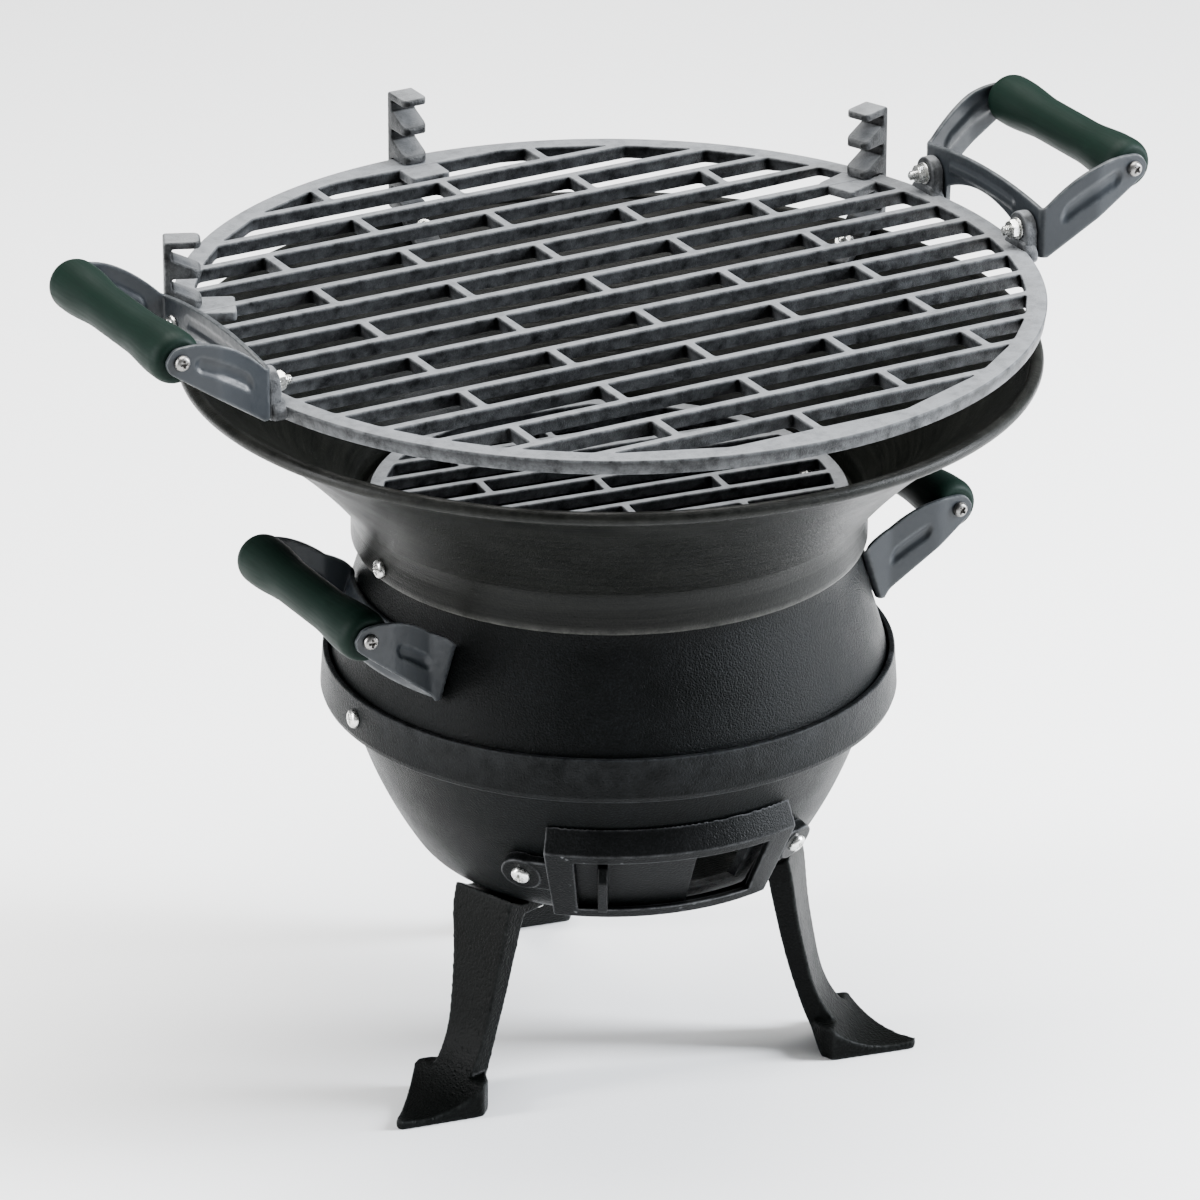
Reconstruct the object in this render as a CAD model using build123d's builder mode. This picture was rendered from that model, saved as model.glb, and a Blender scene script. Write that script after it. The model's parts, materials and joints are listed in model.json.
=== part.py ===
"""Cast-iron barrel charcoal grill of the hibachi kind, 35 cm cooking grate.

Frame: +Z up, origin on the floor under the pot's axis, handles on +X and -X, the cook at -Y.
The lower pot with its legs and air vent is turned a little about Z, as the real one is bolted.
"""
from build123d import *
from math import atan2, cos, degrees, radians, sin, sqrt
import os

os.makedirs("parts", exist_ok=True)

# ---------------------------------------------------------------- driving dimensions (mm, deg)
GRATE_R = 175.0            # cooking grate, outer radius
GRATE_TOP = 327.0          # top of the cooking grate above the floor
GRATE_DEPTH = 6.0
GRATE_PITCH = 20.5         # bar to bar
GRATE_RIB_STEP = 51.0      # half the distance between ribs along a bar
BAR_WIDTH = 4.0
RING_WIDTH = 8.5

POT_TURN = -10.2           # lower pot with its legs about Z
VENT_ANGLE = 255.7
LEG_ANGLES = {
    "leg_front_left": 210 + POT_TURN,
    "leg_front_right": 330 + POT_TURN,
    "leg_rear": 90 + POT_TURN,
}

POT_BOTTOM = 83.5          # underside of the lower pot
BAND_BOTTOM, BAND_TOP = 155.5, 174.0
SEAT_Z = 157.5             # ledge in the band that carries the upper pot
WALL = 4.0                 # casting thickness
NECK_TOP = 231.5           # top edge of the upper pot
COLLAR_BOTTOM = 222.7
RIM_Z, RIM_R = 301.5, 171.5
COAL_GRATE_R, COAL_GRATE_TOP, COAL_GRATE_DEPTH = 97.5, 240.5, 5.0
COAL_PITCH, COAL_RIB_STEP, COAL_TURN = 14.9, 45.5, -7.0

SUPPORT_ANGLES = {
    "grate_support_left": 156.0,
    "grate_support_rear": 90.0,
    "grate_support_right": 22.0,
}
SUPPORT_WIDTH = 11.5
TOOTH_PITCH, TOOTH_TIP, TOOTH_REACH = 12.7, 3.1, 12.0

WEB_Y = 44.0               # middle of the bracket's sheet where an arm leaves the web
EYE_R, GRIP_SCREW_R = 6.0, 1.8
ARM_Y = 48.0               # inner face of a handle arm, from the handle's middle plane
SHEET = 2.0                # bracket steel
GRIP_R, GRIP_END_R = 9.0, 10.6
GRATE_GRIP_X, GRATE_GRIP_Z = 216.4, 356.5
POT_GRIP_X, POT_GRIP_Z = 136.3, 222.5
EAR_Y, EAR_Z = 36.0, 334.5  # bolts of the grate brackets
POT_BOLT_TURN = 16.0       # bolts of the pot brackets, each side of the handle's middle plane

SCREW_R, HEAD_R, HEAD_H = 2.0, 4.0, 2.4
NUT_FLATS, NUT_H, WASHER_R, WASHER_H = 7.0, 3.2, 4.6, 0.8
GAP = 0.3                  # clearance between pieces that only lie against each other

# lower pot, legs and vent
INLET_SPAN = (-3.0, 22.0)  # air inlet behind the vent, from the vent's middle
LEG_FLANGE_R, LEG_FLANGE_Z = 47.0, 79.2
LEG_BOLT_R, LEG_BOLT_SIDE = 54.0, 7.0
LEG_TOP_SIDE = 15.0
FOOT_TOP = 14.0            # where the shank's narrow outline gives way to the foot's
FRAME_TURN, CAVITY_TURN, WINDOW_TURN, EAR_TURN = 29.3, 26.2, 22.8, 36.5
WINDOW_LOW, WINDOW_HIGH = 96.5, 123.0
DAMPER_SPAN = (-25.6, 5.6)
FIN_TURN, FIN_THICK = -16.5, 4.0
WALL_LEAN = 25.0           # the pot's wall at the vent's ears leans out by this much
EAR_BASE = (91.9, 113.5)   # radius and height of the wall behind the ears' screws
EAR_DEPTH = 5.0

# barrel and bowl
BAND_SCREW_Z = 165.0
BARREL_LEAN = 17.1         # the barrel narrows upwards by this angle
POT_WEB_Z = (187.5, 207.5)
COLLAR_SCREW_Z = 228.0
BEAD_R = 2.8
SUPPORT_SCREW_AT = 0.86    # along the flare's outline, 1 at the rim

# cooking grate
PAD_DEPTH, PAD_WIDTH = 4.2, 18.0
EAR_FACE, EAR_THICK = 175.2, 5.2
PULL_OUT = 60.0            # travel that the relief under the ring leaves free


def radial_plane(angle):
    """Vertical plane through Z, u outwards along the angle and v up."""
    a = radians(angle)
    return Plane(origin=(0, 0, 0), x_dir=(cos(a), sin(a), 0), z_dir=(sin(a), -cos(a), 0))


def wall_plane(angle, r, z, tilt=0.0):
    """Plane whose normal points outwards at the angle, tilted up by tilt degrees."""
    a, t = radians(angle), radians(tilt)
    normal = (cos(a) * cos(t), sin(a) * cos(t), sin(t))
    return Plane(origin=(r * cos(a), r * sin(a), z), x_dir=(-sin(a), cos(a), 0), z_dir=normal)


def finish(name, label):
    """Label a finished piece and write its STEP file."""
    name.part.label = label
    export_step(name.part, f"parts/{label}.step")


# ---------------------------------------------------------------- screws, nuts and washers
def make_screw(length, shank_r=SCREW_R, head_r=HEAD_R):
    """Pan-head screw: the head's seat lies on z = 0, the shank runs down."""
    with BuildPart() as screw:
        with BuildSketch(Plane.XY):
            Circle(head_r)
        extrude(amount=HEAD_H)
        fillet(screw.faces().sort_by(Axis.Z)[-1].edges(), HEAD_H * 0.6)
        with BuildSketch(Plane.XY):
            Circle(shank_r)
        extrude(amount=-length)
        with BuildSketch(Plane.XY.offset(HEAD_H)):
            Rectangle(head_r, 0.9)
            Rectangle(0.9, head_r)
        extrude(amount=-1.2, mode=Mode.SUBTRACT)
    return screw.part


def make_nut():
    """Hexagon nut on z = 0, open for the screw with a fine thread clearance."""
    with BuildPart() as nut:
        with BuildSketch(Plane.XY):
            RegularPolygon(NUT_FLATS / 2, 6, major_radius=False)
            Circle(SCREW_R + 0.05, mode=Mode.SUBTRACT)
        extrude(amount=NUT_H)
    return nut.part


def make_washer():
    with BuildPart() as washer:
        with BuildSketch(Plane.XY):
            Circle(WASHER_R)
            Circle(SCREW_R + 0.2, mode=Mode.SUBTRACT)
        extrude(amount=WASHER_H)
    return washer.part


def fasten(label, piece, planes):
    """One node that holds a separate copy of the piece on each plane."""
    with BuildPart() as group:
        with Locations(*planes):
            add(piece)
    finish(group, label)


nut_piece = make_nut()
washer_piece = make_washer()

# ---------------------------------------------------------------- lower pot with its socket band
band_planes = [wall_plane(a, 117.6, BAND_SCREW_Z, 3.5) for a in (0, 180)]
ear_planes = [wall_plane(VENT_ANGLE + a, *EAR_BASE, -WALL_LEAN) for a in (-EAR_TURN, EAR_TURN)]
leg_bolt_spots = [
    radial_plane(a).from_local_coords((LEG_BOLT_R, POT_BOTTOM + WALL + 0.1, side))
    for a in LEG_ANGLES.values()
    for side in (-LEG_BOLT_SIDE, LEG_BOLT_SIDE)
]
leg_bolt_planes = [Plane(origin=spot, z_dir=(0, 0, 1)) for spot in leg_bolt_spots]

with BuildPart() as lower_pot:
    with BuildSketch(Plane.XZ):
        with BuildLine():
            Line((0, POT_BOTTOM + WALL / 2), (58, POT_BOTTOM + WALL / 2))
            ThreePointArc((58, POT_BOTTOM + WALL / 2), (70.5, 88.1), (79.5, 96.0))
            ThreePointArc((79.5, 96.0), (90.0, 114.0), (98.4, 133.0))
            Line((98.4, 133.0), (106.6, BAND_BOTTOM))
        trace(line_width=WALL)
        with BuildLine():
            Polyline(
                (103.5, SEAT_Z - 3.5), (108.5, SEAT_Z - 3.5), (117.0, BAND_BOTTOM),
                (118.0, BAND_BOTTOM + 2), (116.9, BAND_TOP), (114.3, BAND_TOP),
                (114.3, SEAT_Z), (103.5, SEAT_Z), close=True,
            )
        make_face()
        with Locations((-50, 110)):
            Rectangle(100, 60, mode=Mode.SUBTRACT)
    revolve(axis=Axis.Z)
    with BuildSketch(radial_plane(VENT_ANGLE + INLET_SPAN[0])):
        with Locations((90, (WINDOW_LOW + WINDOW_HIGH) / 2)):
            Rectangle(60, 20)
    revolve(axis=Axis.Z, revolution_arc=INLET_SPAN[1] - INLET_SPAN[0], mode=Mode.SUBTRACT)
    for plane in band_planes + ear_planes + leg_bolt_planes:
        with BuildSketch(plane.offset(2)):
            Circle(SCREW_R + 0.2)
        extrude(amount=-14, mode=Mode.SUBTRACT)
finish(lower_pot, "lower_pot")

# ---------------------------------------------------------------- upper pot, a tapered barrel
collar_planes = [wall_plane(a, 105.1, COLLAR_SCREW_Z) for a in (0, 180)]
web_mid = sum(POT_WEB_Z) / 2
web_inner_r = 113.8 - 0.308 * (web_mid - 173) + 0.5
pot_bolt_planes = [
    wall_plane(a + side, web_inner_r, web_mid, BARREL_LEAN).offset(SHEET + 0.1)
    for a in (0, 180)
    for side in (-POT_BOLT_TURN, POT_BOLT_TURN)
]

with BuildPart() as upper_pot:
    with BuildSketch(Plane.XZ):
        with BuildLine():
            FilletPolyline((111.8, SEAT_Z + 0.2), (111.8, 172.5), (98.9, 215.5), (97.3, NECK_TOP),
                           radius=(25, 40))
        trace(line_width=WALL)
    revolve(axis=Axis.Z)
    for plane in band_planes + collar_planes + pot_bolt_planes:
        with BuildSketch(plane):
            Circle(SCREW_R + 0.2)
        extrude(amount=-14, mode=Mode.SUBTRACT)
finish(upper_pot, "upper_pot")

# ---------------------------------------------------------------- flared bowl with collar and beaded rim
flare = ThreePointArc((105.6, 242.0), (132.2, 271.2), (RIM_R, RIM_Z))
flare_point, flare_run = flare @ SUPPORT_SCREW_AT, flare % SUPPORT_SCREW_AT
flare_slope = degrees(atan2(flare_run.Y, flare_run.X))
support_planes = [
    wall_plane(a, flare_point.X, flare_point.Y, flare_slope - 90).offset(WALL / 2 + 0.1)
    for a in SUPPORT_ANGLES.values()
]

with BuildPart() as bowl:
    with BuildSketch(Plane.XZ):
        with BuildLine():
            collar = Line((103, COLLAR_BOTTOM), (103, COLLAR_BOTTOM + 11))
            TangentArc(collar @ 1, flare @ 0, tangent=collar % 1)
            add(flare)
        trace(line_width=WALL)
        with Locations((RIM_R, RIM_Z)):
            Circle(BEAD_R)
        with Locations((98.5, NECK_TOP + 2.1)):
            Rectangle(7, 3.8)
    revolve(axis=Axis.Z)
    for plane in collar_planes + support_planes:
        with BuildSketch(plane):
            Circle(SCREW_R + 0.2)
        extrude(amount=-8, mode=Mode.SUBTRACT)
finish(bowl, "bowl")

# ---------------------------------------------------------------- legs
def make_leg():
    """Cast leg in the XZ plane: a flange under the pot, a curved shank and a pointed wedge foot."""
    with BuildPart() as envelope:
        with BuildSketch(Plane.YZ):
            with BuildLine():
                Line((-LEG_TOP_SIDE, 95), (-LEG_TOP_SIDE, 78))
                Spline((-LEG_TOP_SIDE, 78), (-13.0, 61), (-10.8, 39), (-10, FOOT_TOP))
                Line((-10, FOOT_TOP), (0, FOOT_TOP))
                mirror(about=Plane.YZ)
                Line((-LEG_TOP_SIDE, 95), (LEG_TOP_SIDE, 95))
            make_face()
        extrude(amount=150)
        with BuildSketch(Plane.XY):
            with BuildLine():
                Polyline((78, 0), (78, -10), (88, -10), (93, -16), (99, -19), (126, -4),
                         (130, -1.5), (130, 0))
                mirror(about=Plane.XZ)
            make_face()
        extrude(amount=FOOT_TOP)
    with BuildPart() as leg:
        with BuildSketch(Plane.XZ):
            with BuildLine():
                Polyline((69.5, LEG_FLANGE_Z), (LEG_FLANGE_R, LEG_FLANGE_Z),
                         (LEG_FLANGE_R, POT_BOTTOM - GAP), (60, POT_BOTTOM - GAP), (71, 84.7), (78, 88.5))
                Spline((78, 88.5), (80, 79), (82, 62), (85.5, 43), (91, 24), (99, 13), (130, 4))
                Polyline((130, 4), (130, 0), (93, 0))
                Spline((93, 0), (88.5, 8), (82, 24), (76.5, 43), (72.5, 62), (69.5, LEG_FLANGE_Z))
            make_face()
        extrude(amount=30, both=True)
        add(envelope.part, mode=Mode.INTERSECT)
        with Locations(*[(LEG_BOLT_R, side, POT_BOTTOM) for side in (-LEG_BOLT_SIDE, LEG_BOLT_SIDE)]):
            Cylinder(SCREW_R + 0.2, 30, mode=Mode.SUBTRACT)
    return leg.part


leg_piece = make_leg()
for leg_name, leg_angle in LEG_ANGLES.items():
    with BuildPart() as leg_at_place:
        with Locations(Location((0, 0, 0), (0, 0, leg_angle))):
            add(leg_piece)
    finish(leg_at_place, leg_name)

leg_grip = WALL + 0.1 + POT_BOTTOM - LEG_FLANGE_Z
fasten("leg_bolts", make_screw(leg_grip + NUT_H + 1.5), leg_bolt_planes)
fasten("leg_nuts", nut_piece, [p.offset(-leg_grip - NUT_H - 0.05) for p in leg_bolt_planes])

# ---------------------------------------------------------------- air vent: frame, damper, screws
with BuildPart() as vent_frame:
    with BuildSketch(radial_plane(VENT_ANGLE - FRAME_TURN)):
        with BuildLine():
            Polyline((80.2, 92), (82.3, 94.8), (92.6, 112.7), (101.0, 131.9), (103.0, 137.5),
                     (107.6, 127.0), (90.2, 92), close=True)
        make_face()
    revolve(axis=Axis.Z, revolution_arc=2 * FRAME_TURN)
    with BuildSketch(radial_plane(VENT_ANGLE - CAVITY_TURN)):
        with BuildLine():
            Polyline((70, 94.8), (88.1, 94.8), (103.0, 125.0), (97, 129), (84, 129), close=True)
        make_face()
    revolve(axis=Axis.Z, revolution_arc=2 * CAVITY_TURN, mode=Mode.SUBTRACT)
    with BuildSketch(radial_plane(VENT_ANGLE - WINDOW_TURN)):
        with BuildLine():
            Polyline((84, WINDOW_LOW), (97, WINDOW_LOW), (113, WINDOW_HIGH), (97, WINDOW_HIGH), close=True)
        make_face()
    revolve(axis=Axis.Z, revolution_arc=2 * WINDOW_TURN, mode=Mode.SUBTRACT)
    for start in (VENT_ANGLE - EAR_TURN, VENT_ANGLE + CAVITY_TURN + 0.5):
        with BuildSketch(radial_plane(start)):
            with BuildLine():
                Polyline((88.8, 105.5), (96.3, 120.5), (100.0, 118.7), (92.5, 103.7), close=True)
            make_face()
        revolve(axis=Axis.Z, revolution_arc=EAR_TURN - CAVITY_TURN - 0.5)
    for plane in ear_planes:
        with BuildSketch(plane.offset(0.4)):
            Circle(8.5)
        extrude(amount=EAR_DEPTH)
    for plane in ear_planes:
        with BuildSketch(plane.offset(20)):
            Circle(SCREW_R + 0.2)
        extrude(amount=-40, mode=Mode.SUBTRACT)
finish(vent_frame, "vent_frame")

with BuildPart() as vent_damper:
    with BuildSketch(radial_plane(VENT_ANGLE + DAMPER_SPAN[0])):
        with BuildLine():
            Polyline((87.8, 95.5), (102.2, 124.3), (100.0, 125.4), (85.6, 96.6), close=True)
        make_face()
    revolve(axis=Axis.Z, revolution_arc=DAMPER_SPAN[1] - DAMPER_SPAN[0])
    with BuildSketch(radial_plane(VENT_ANGLE + FIN_TURN)):
        with BuildLine():
            Polyline((87.6, 98.2), (99.2, 121), (104.0, 120.5), (107.3, 115), (98.4, 98.2),
                     (93, 97.6), close=True)
        make_face()
    extrude(amount=FIN_THICK / 2, both=True)
finish(vent_damper, "vent_damper")

vent_grip = EAR_DEPTH + 0.4
fasten("vent_screws", make_screw(vent_grip + WALL + NUT_H + 2), [p.offset(vent_grip) for p in ear_planes])
fasten("vent_nuts", nut_piece, [p.offset(-(WALL + 0.5 + NUT_H)) for p in ear_planes])

# ---------------------------------------------------------------- band and collar screws
fasten("band_screws", make_screw(13.5), band_planes)
fasten("band_nuts", nut_piece, [p.offset(-(8.3 + NUT_H)) for p in band_planes])
fasten("collar_screws", make_screw(15), collar_planes)
fasten("collar_nuts", nut_piece, [p.offset(-(10.2 + NUT_H)) for p in collar_planes])


# ---------------------------------------------------------------- the two grates
def grate_outline(radius, ring, pitch, rib_step, bar, last_row):
    """Ring, parallel bars and ribs that step by half their distance from row to row."""
    inner = radius - ring
    with BuildSketch() as outline:
        Circle(radius)
        Circle(inner, mode=Mode.SUBTRACT)
        rows = range(-last_row - 1, last_row + 1)
        for k in range(-last_row, last_row + 1):
            with Locations((0, k * pitch)):
                Rectangle(2 * sqrt(inner**2 - (k * pitch) ** 2) + ring, bar)
        for k in rows:
            y = (k + 0.5) * pitch
            steps = (0, -2, 2) if k % 2 == 0 else (-1, 1)
            for x in [s * rib_step for s in steps if sqrt((s * rib_step) ** 2 + y**2) < inner - bar]:
                with Locations((x, y)):
                    Rectangle(bar, pitch)
    return outline.sketch


cooking_outline = grate_outline(GRATE_R, RING_WIDTH, GRATE_PITCH, GRATE_RIB_STEP, BAR_WIDTH, 7)
coal_outline = grate_outline(COAL_GRATE_R, 6.0, COAL_PITCH, COAL_RIB_STEP, 3.2, 6)

with BuildPart() as charcoal_grate:
    with BuildSketch(Plane.XY.offset(COAL_GRATE_TOP - COAL_GRATE_DEPTH)):
        add(coal_outline, rotation=COAL_TURN)
    extrude(amount=COAL_GRATE_DEPTH)
finish(charcoal_grate, "charcoal_grate")


def relief_outline():
    """Where the ring is thinner underneath, so that it slides over the notches towards -Y."""
    with BuildSketch() as relief:
        for angle in SUPPORT_ANGLES.values():
            a = radians(angle)
            with Locations(((GRATE_R - 5) * cos(a), (GRATE_R - 5) * sin(a) + PULL_OUT / 2 - 8)):
                Rectangle(2 * SUPPORT_WIDTH + 8, PULL_OUT)
        Circle(GRATE_R - 14, mode=Mode.SUBTRACT)
    return relief.sketch


relief = relief_outline()
ear_foot = GRATE_TOP - GRATE_DEPTH

with BuildPart() as cooking_grate:
    with BuildSketch(Plane.XY.offset(ear_foot)):
        add(cooking_outline)
        for angle in SUPPORT_ANGLES.values():
            a = radians(angle)
            with Locations(Location(((GRATE_R - 13) * cos(a), (GRATE_R - 13) * sin(a), 0), (0, 0, angle))):
                Rectangle(24, PAD_WIDTH)
        Circle(GRATE_R, mode=Mode.INTERSECT)
    extrude(amount=GRATE_DEPTH)
    with BuildSketch(Plane.XY.offset(ear_foot)):
        add(relief)
    extrude(amount=GRATE_DEPTH - PAD_DEPTH, mode=Mode.SUBTRACT)
    for side in (-1, 1):
        with BuildSketch(Plane(origin=(side * EAR_FACE, 0, 0), x_dir=(0, side, 0), z_dir=(side, 0, 0))):
            with Locations((-EAR_Y, EAR_Z), (EAR_Y, EAR_Z)):
                Circle(7)
            with Locations((-EAR_Y, (EAR_Z + ear_foot) / 2), (EAR_Y, (EAR_Z + ear_foot) / 2)):
                Rectangle(14, EAR_Z - ear_foot)
            with Locations((-EAR_Y, EAR_Z), (EAR_Y, EAR_Z)):
                Circle(SCREW_R + 0.2, mode=Mode.SUBTRACT)
        extrude(amount=-EAR_THICK)
finish(cooking_grate, "cooking_grate")

# ---------------------------------------------------------------- notched supports on the rim
def make_support():
    """Upright in the XZ plane: a back plate, four tongues, a foot over the rim and a bolted tab."""
    back, face = GRATE_R + 3.6, GRATE_R + 0.6
    tip = face - TOOTH_REACH
    underside = GRATE_TOP + 0.4
    top = underside + 2 * TOOTH_PITCH + TOOTH_TIP
    foot = RIM_Z + BEAD_R + GAP
    inward = Vector(-flare_run.Y, flare_run.X)
    seat = flare_point + inward * (WALL / 2 + GAP)
    with BuildPart() as support:
        with BuildSketch(Plane.XZ):
            with BuildLine():
                tab_end = seat - flare_run * 9
                Polyline((back, top), (back, foot), (170, foot), seat + flare_run * 7, tab_end,
                         tab_end + inward * 3.5, seat + flare_run * 5.5 + inward * 3.5, (166, foot + 4.5),
                         (face, foot + 6), (face, top), close=True)
            make_face()
            for k in range(4):
                z = underside + (2 - k) * TOOTH_PITCH
                rise = TOOTH_TIP if k == 0 else TOOTH_PITCH - 4.5
                with BuildLine():
                    Polyline((face, z), (tip, z), (tip, z + TOOTH_TIP), (face, z + rise), close=True)
                make_face()
        extrude(amount=SUPPORT_WIDTH / 2, both=True)
        tips = support.edges().filter_by(Axis.Z).group_by(Axis.X)
        fillet([e for group in tips for e in group if abs(e.center().X - tip) < 0.1], 3.5)
        with BuildSketch(wall_plane(0, flare_point.X, flare_point.Y, flare_slope - 90)):
            Circle(SCREW_R + 0.2)
        extrude(amount=-20, mode=Mode.SUBTRACT)
    return support.part


support_piece = make_support()
for support_name, support_angle in SUPPORT_ANGLES.items():
    with BuildPart() as support_at_place:
        with Locations(Location((0, 0, 0), (0, 0, support_angle))):
            add(support_piece)
    finish(support_at_place, support_name)

fasten("support_screws", make_screw(WALL + 3.5 + GAP + NUT_H + 2), support_planes)
fasten("support_nuts", nut_piece, [p.offset(-(WALL + 3.5 + GAP + 0.3 + NUT_H)) for p in support_planes])


# ---------------------------------------------------------------- handles
def arm_outline(x, z_low, z_high, lean, grip_x, grip_z):
    """Side view of an arm: tall at the web, tapering to a round eye at the grip's screw."""
    with BuildSketch(Plane.XZ) as outline:
        with BuildLine():
            Polyline((x + lean, z_low), (x, z_high))
            Spline((x, z_high), (x + 0.45 * (grip_x - x), z_high + 0.75 * (grip_z + EYE_R - z_high)),
                   (grip_x - 3, grip_z + EYE_R))
            ThreePointArc((grip_x - 3, grip_z + EYE_R), (grip_x + EYE_R, grip_z + 1),
                          (grip_x + 1, grip_z - EYE_R))
            Line((grip_x + 1, grip_z - EYE_R), (x + lean, z_low))
        make_face()
    return outline.sketch


def make_grip(x, z):
    """Turned grip between the arms: narrow in the middle, swollen at both ends, bored for its screws."""
    half = ARM_Y - 0.2
    with BuildPart() as grip:
        with BuildSketch(Plane.XY):
            with BuildLine():
                Polyline((0, -half), (GRIP_END_R - 2.5, -half))
                Spline((GRIP_END_R - 2.5, -half), (GRIP_END_R, 8 - half), (GRIP_R + 0.4, 22 - half),
                       (GRIP_R, 0), (GRIP_R + 0.4, half - 22), (GRIP_END_R, half - 8),
                       (GRIP_END_R - 2.5, half))
                Polyline((GRIP_END_R - 2.5, half), (0, half), (0, -half))
            make_face()
        revolve(axis=Axis.Y)
        with Locations(*[Plane(origin=(0, s * half, 0), z_dir=(0, s, 0)) for s in (-1, 1)]):
            Hole(GRIP_SCREW_R + 0.05, 22)
    with BuildPart() as placed:
        with Locations((x, 0, z)):
            add(grip.part)
    return placed.part


def make_grate_bracket():
    """Pressed-steel bracket: flat web with an arch over the ring, and two arms."""
    web_x = EAR_FACE + 0.2 + SHEET / 2
    low, high = EAR_Z - 11.5, EAR_Z + 8.5
    outer = ARM_Y + SHEET / 2
    with BuildPart() as bracket:
        with BuildSketch(Plane.XY.offset(low)):
            with BuildLine():
                FilletPolyline((GRATE_GRIP_X + 12, -outer), (200, -outer), (web_x, -WEB_Y), (web_x, WEB_Y),
                               (200, outer), (GRATE_GRIP_X + 12, outer), radius=(20, 2, 2, 20))
            trace(line_width=SHEET)
        extrude(amount=60)
        with BuildSketch(Plane.XZ):
            add(arm_outline(web_x, low, high, 2.5, GRATE_GRIP_X, GRATE_GRIP_Z))
            with Locations((web_x, (low + high) / 2 + 4)):
                Rectangle(6, high - low + 8)
        extrude(amount=80, both=True, mode=Mode.INTERSECT)
        with BuildSketch(Plane.YZ.offset(web_x - 2)):
            with BuildLine():
                ThreePointArc((-WEB_Y - 6, high), (0, high + 5), (WEB_Y + 6, high))
                Polyline((WEB_Y + 6, high), (WEB_Y + 6, high + 20), (-WEB_Y - 6, high + 20), (-WEB_Y - 6, high))
            make_face()
            with BuildLine():
                ThreePointArc((-27, EAR_Z - 4), (0, EAR_Z + 2.5), (27, EAR_Z - 4))
                Polyline((27, EAR_Z - 4), (27, low - 2), (-27, low - 2), (-27, EAR_Z - 4))
            make_face()
            with Locations((-EAR_Y, EAR_Z), (EAR_Y, EAR_Z)):
                Circle(SCREW_R + 0.2)
        extrude(amount=5.5, mode=Mode.SUBTRACT)
        with Locations((GRATE_GRIP_X, 0, GRATE_GRIP_Z)):
            Cylinder(GRIP_SCREW_R + 0.1, 200, rotation=(90, 0, 0), mode=Mode.SUBTRACT)
    return bracket.part


def make_pot_bracket():
    """Pressed-steel bracket whose web follows the barrel."""
    low, high = POT_WEB_Z
    outer = ARM_Y + SHEET / 2
    lean = 0.308 * (high - low)
    edge = web_inner_r + 0.308 * (web_mid - high)
    with BuildPart() as bracket:
        with BuildSketch(Plane.XY.offset(low - 5)):
            with BuildLine():
                FilletPolyline((90, WEB_Y), (107, WEB_Y), (127, outer), (POT_GRIP_X + 12, outer),
                               radius=(12, 20))
            trace(line_width=SHEET)
            mirror(about=Plane.XZ)
        extrude(amount=60)
        with BuildSketch(Plane.XZ):
            add(arm_outline(edge * 0.93, low, high, lean, POT_GRIP_X, POT_GRIP_Z))
        extrude(amount=80, both=True, mode=Mode.INTERSECT)
    with BuildPart() as web:
        with BuildSketch(radial_plane(-27)):
            with BuildLine():
                Polyline((edge, high), (edge + lean, low), (edge + lean + SHEET, low),
                         (edge + SHEET, high), close=True)
            make_face()
        revolve(axis=Axis.Z, revolution_arc=54)
        with Locations((110, 0, web_mid)):
            Box(60, 2 * (WEB_Y + SHEET / 2), 60, mode=Mode.INTERSECT)
    with BuildPart() as joined:
        add(bracket.part)
        add(web.part)
        for plane in pot_bolt_planes[:2]:
            with BuildSketch(plane.offset(5)):
                Circle(SCREW_R + 0.2)
            extrude(amount=-15, mode=Mode.SUBTRACT)
        with Locations((POT_GRIP_X, 0, POT_GRIP_Z)):
            Cylinder(GRIP_SCREW_R + 0.1, 200, rotation=(90, 0, 0), mode=Mode.SUBTRACT)
    return joined.part


handle_pieces = {
    "grate_bracket": make_grate_bracket(),
    "grate_grip": make_grip(GRATE_GRIP_X, GRATE_GRIP_Z),
    "pot_bracket": make_pot_bracket(),
    "pot_grip": make_grip(POT_GRIP_X, POT_GRIP_Z),
}
for piece_name, piece in handle_pieces.items():
    for side_name, turn in (("right", 0), ("left", 180)):
        with BuildPart() as handle_part:
            with Locations(Location((0, 0, 0), (0, 0, turn))):
                add(piece)
        finish(handle_part, f"{piece_name}_{side_name}")

grip_screw = make_screw(18, GRIP_SCREW_R, 3.2)
grip_axes = {
    "grate_grip_screws": (GRATE_GRIP_X, GRATE_GRIP_Z),
    "pot_grip_screws": (POT_GRIP_X, POT_GRIP_Z),
}
for piece_name, (x, z) in grip_axes.items():
    fasten(piece_name, grip_screw, [
        Plane(origin=(side * x, end * (ARM_Y + SHEET + 0.1), z), z_dir=(0, end, 0))
        for side in (-1, 1)
        for end in (-1, 1)
    ])

web_face = EAR_FACE + 0.3 + SHEET
grate_bolt_planes = [
    Plane(origin=(side * web_face, y, EAR_Z), x_dir=(0, side, 0), z_dir=(side, 0, 0))
    for side in (-1, 1)
    for y in (-EAR_Y, EAR_Y)
]
grate_grip = SHEET + 0.3 + EAR_THICK
grate_back = grate_grip + WASHER_H
fasten("grate_bracket_bolts", make_screw(grate_back + NUT_H + 3.5), grate_bolt_planes)
fasten("grate_bracket_washers", washer_piece, [p.offset(-grate_back - 0.05) for p in grate_bolt_planes])
fasten("grate_bracket_nuts", nut_piece, [p.offset(-grate_back - 0.1 - NUT_H) for p in grate_bolt_planes])

pot_back = SHEET + 0.6 + WALL + WASHER_H
fasten("pot_bracket_bolts", make_screw(pot_back + NUT_H + 2.5), pot_bolt_planes)
fasten("pot_bracket_washers", washer_piece, [p.offset(-pot_back - 0.4) for p in pot_bolt_planes])
fasten("pot_bracket_nuts", nut_piece, [p.offset(-pot_back - 0.5 - NUT_H) for p in pot_bolt_planes])
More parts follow.
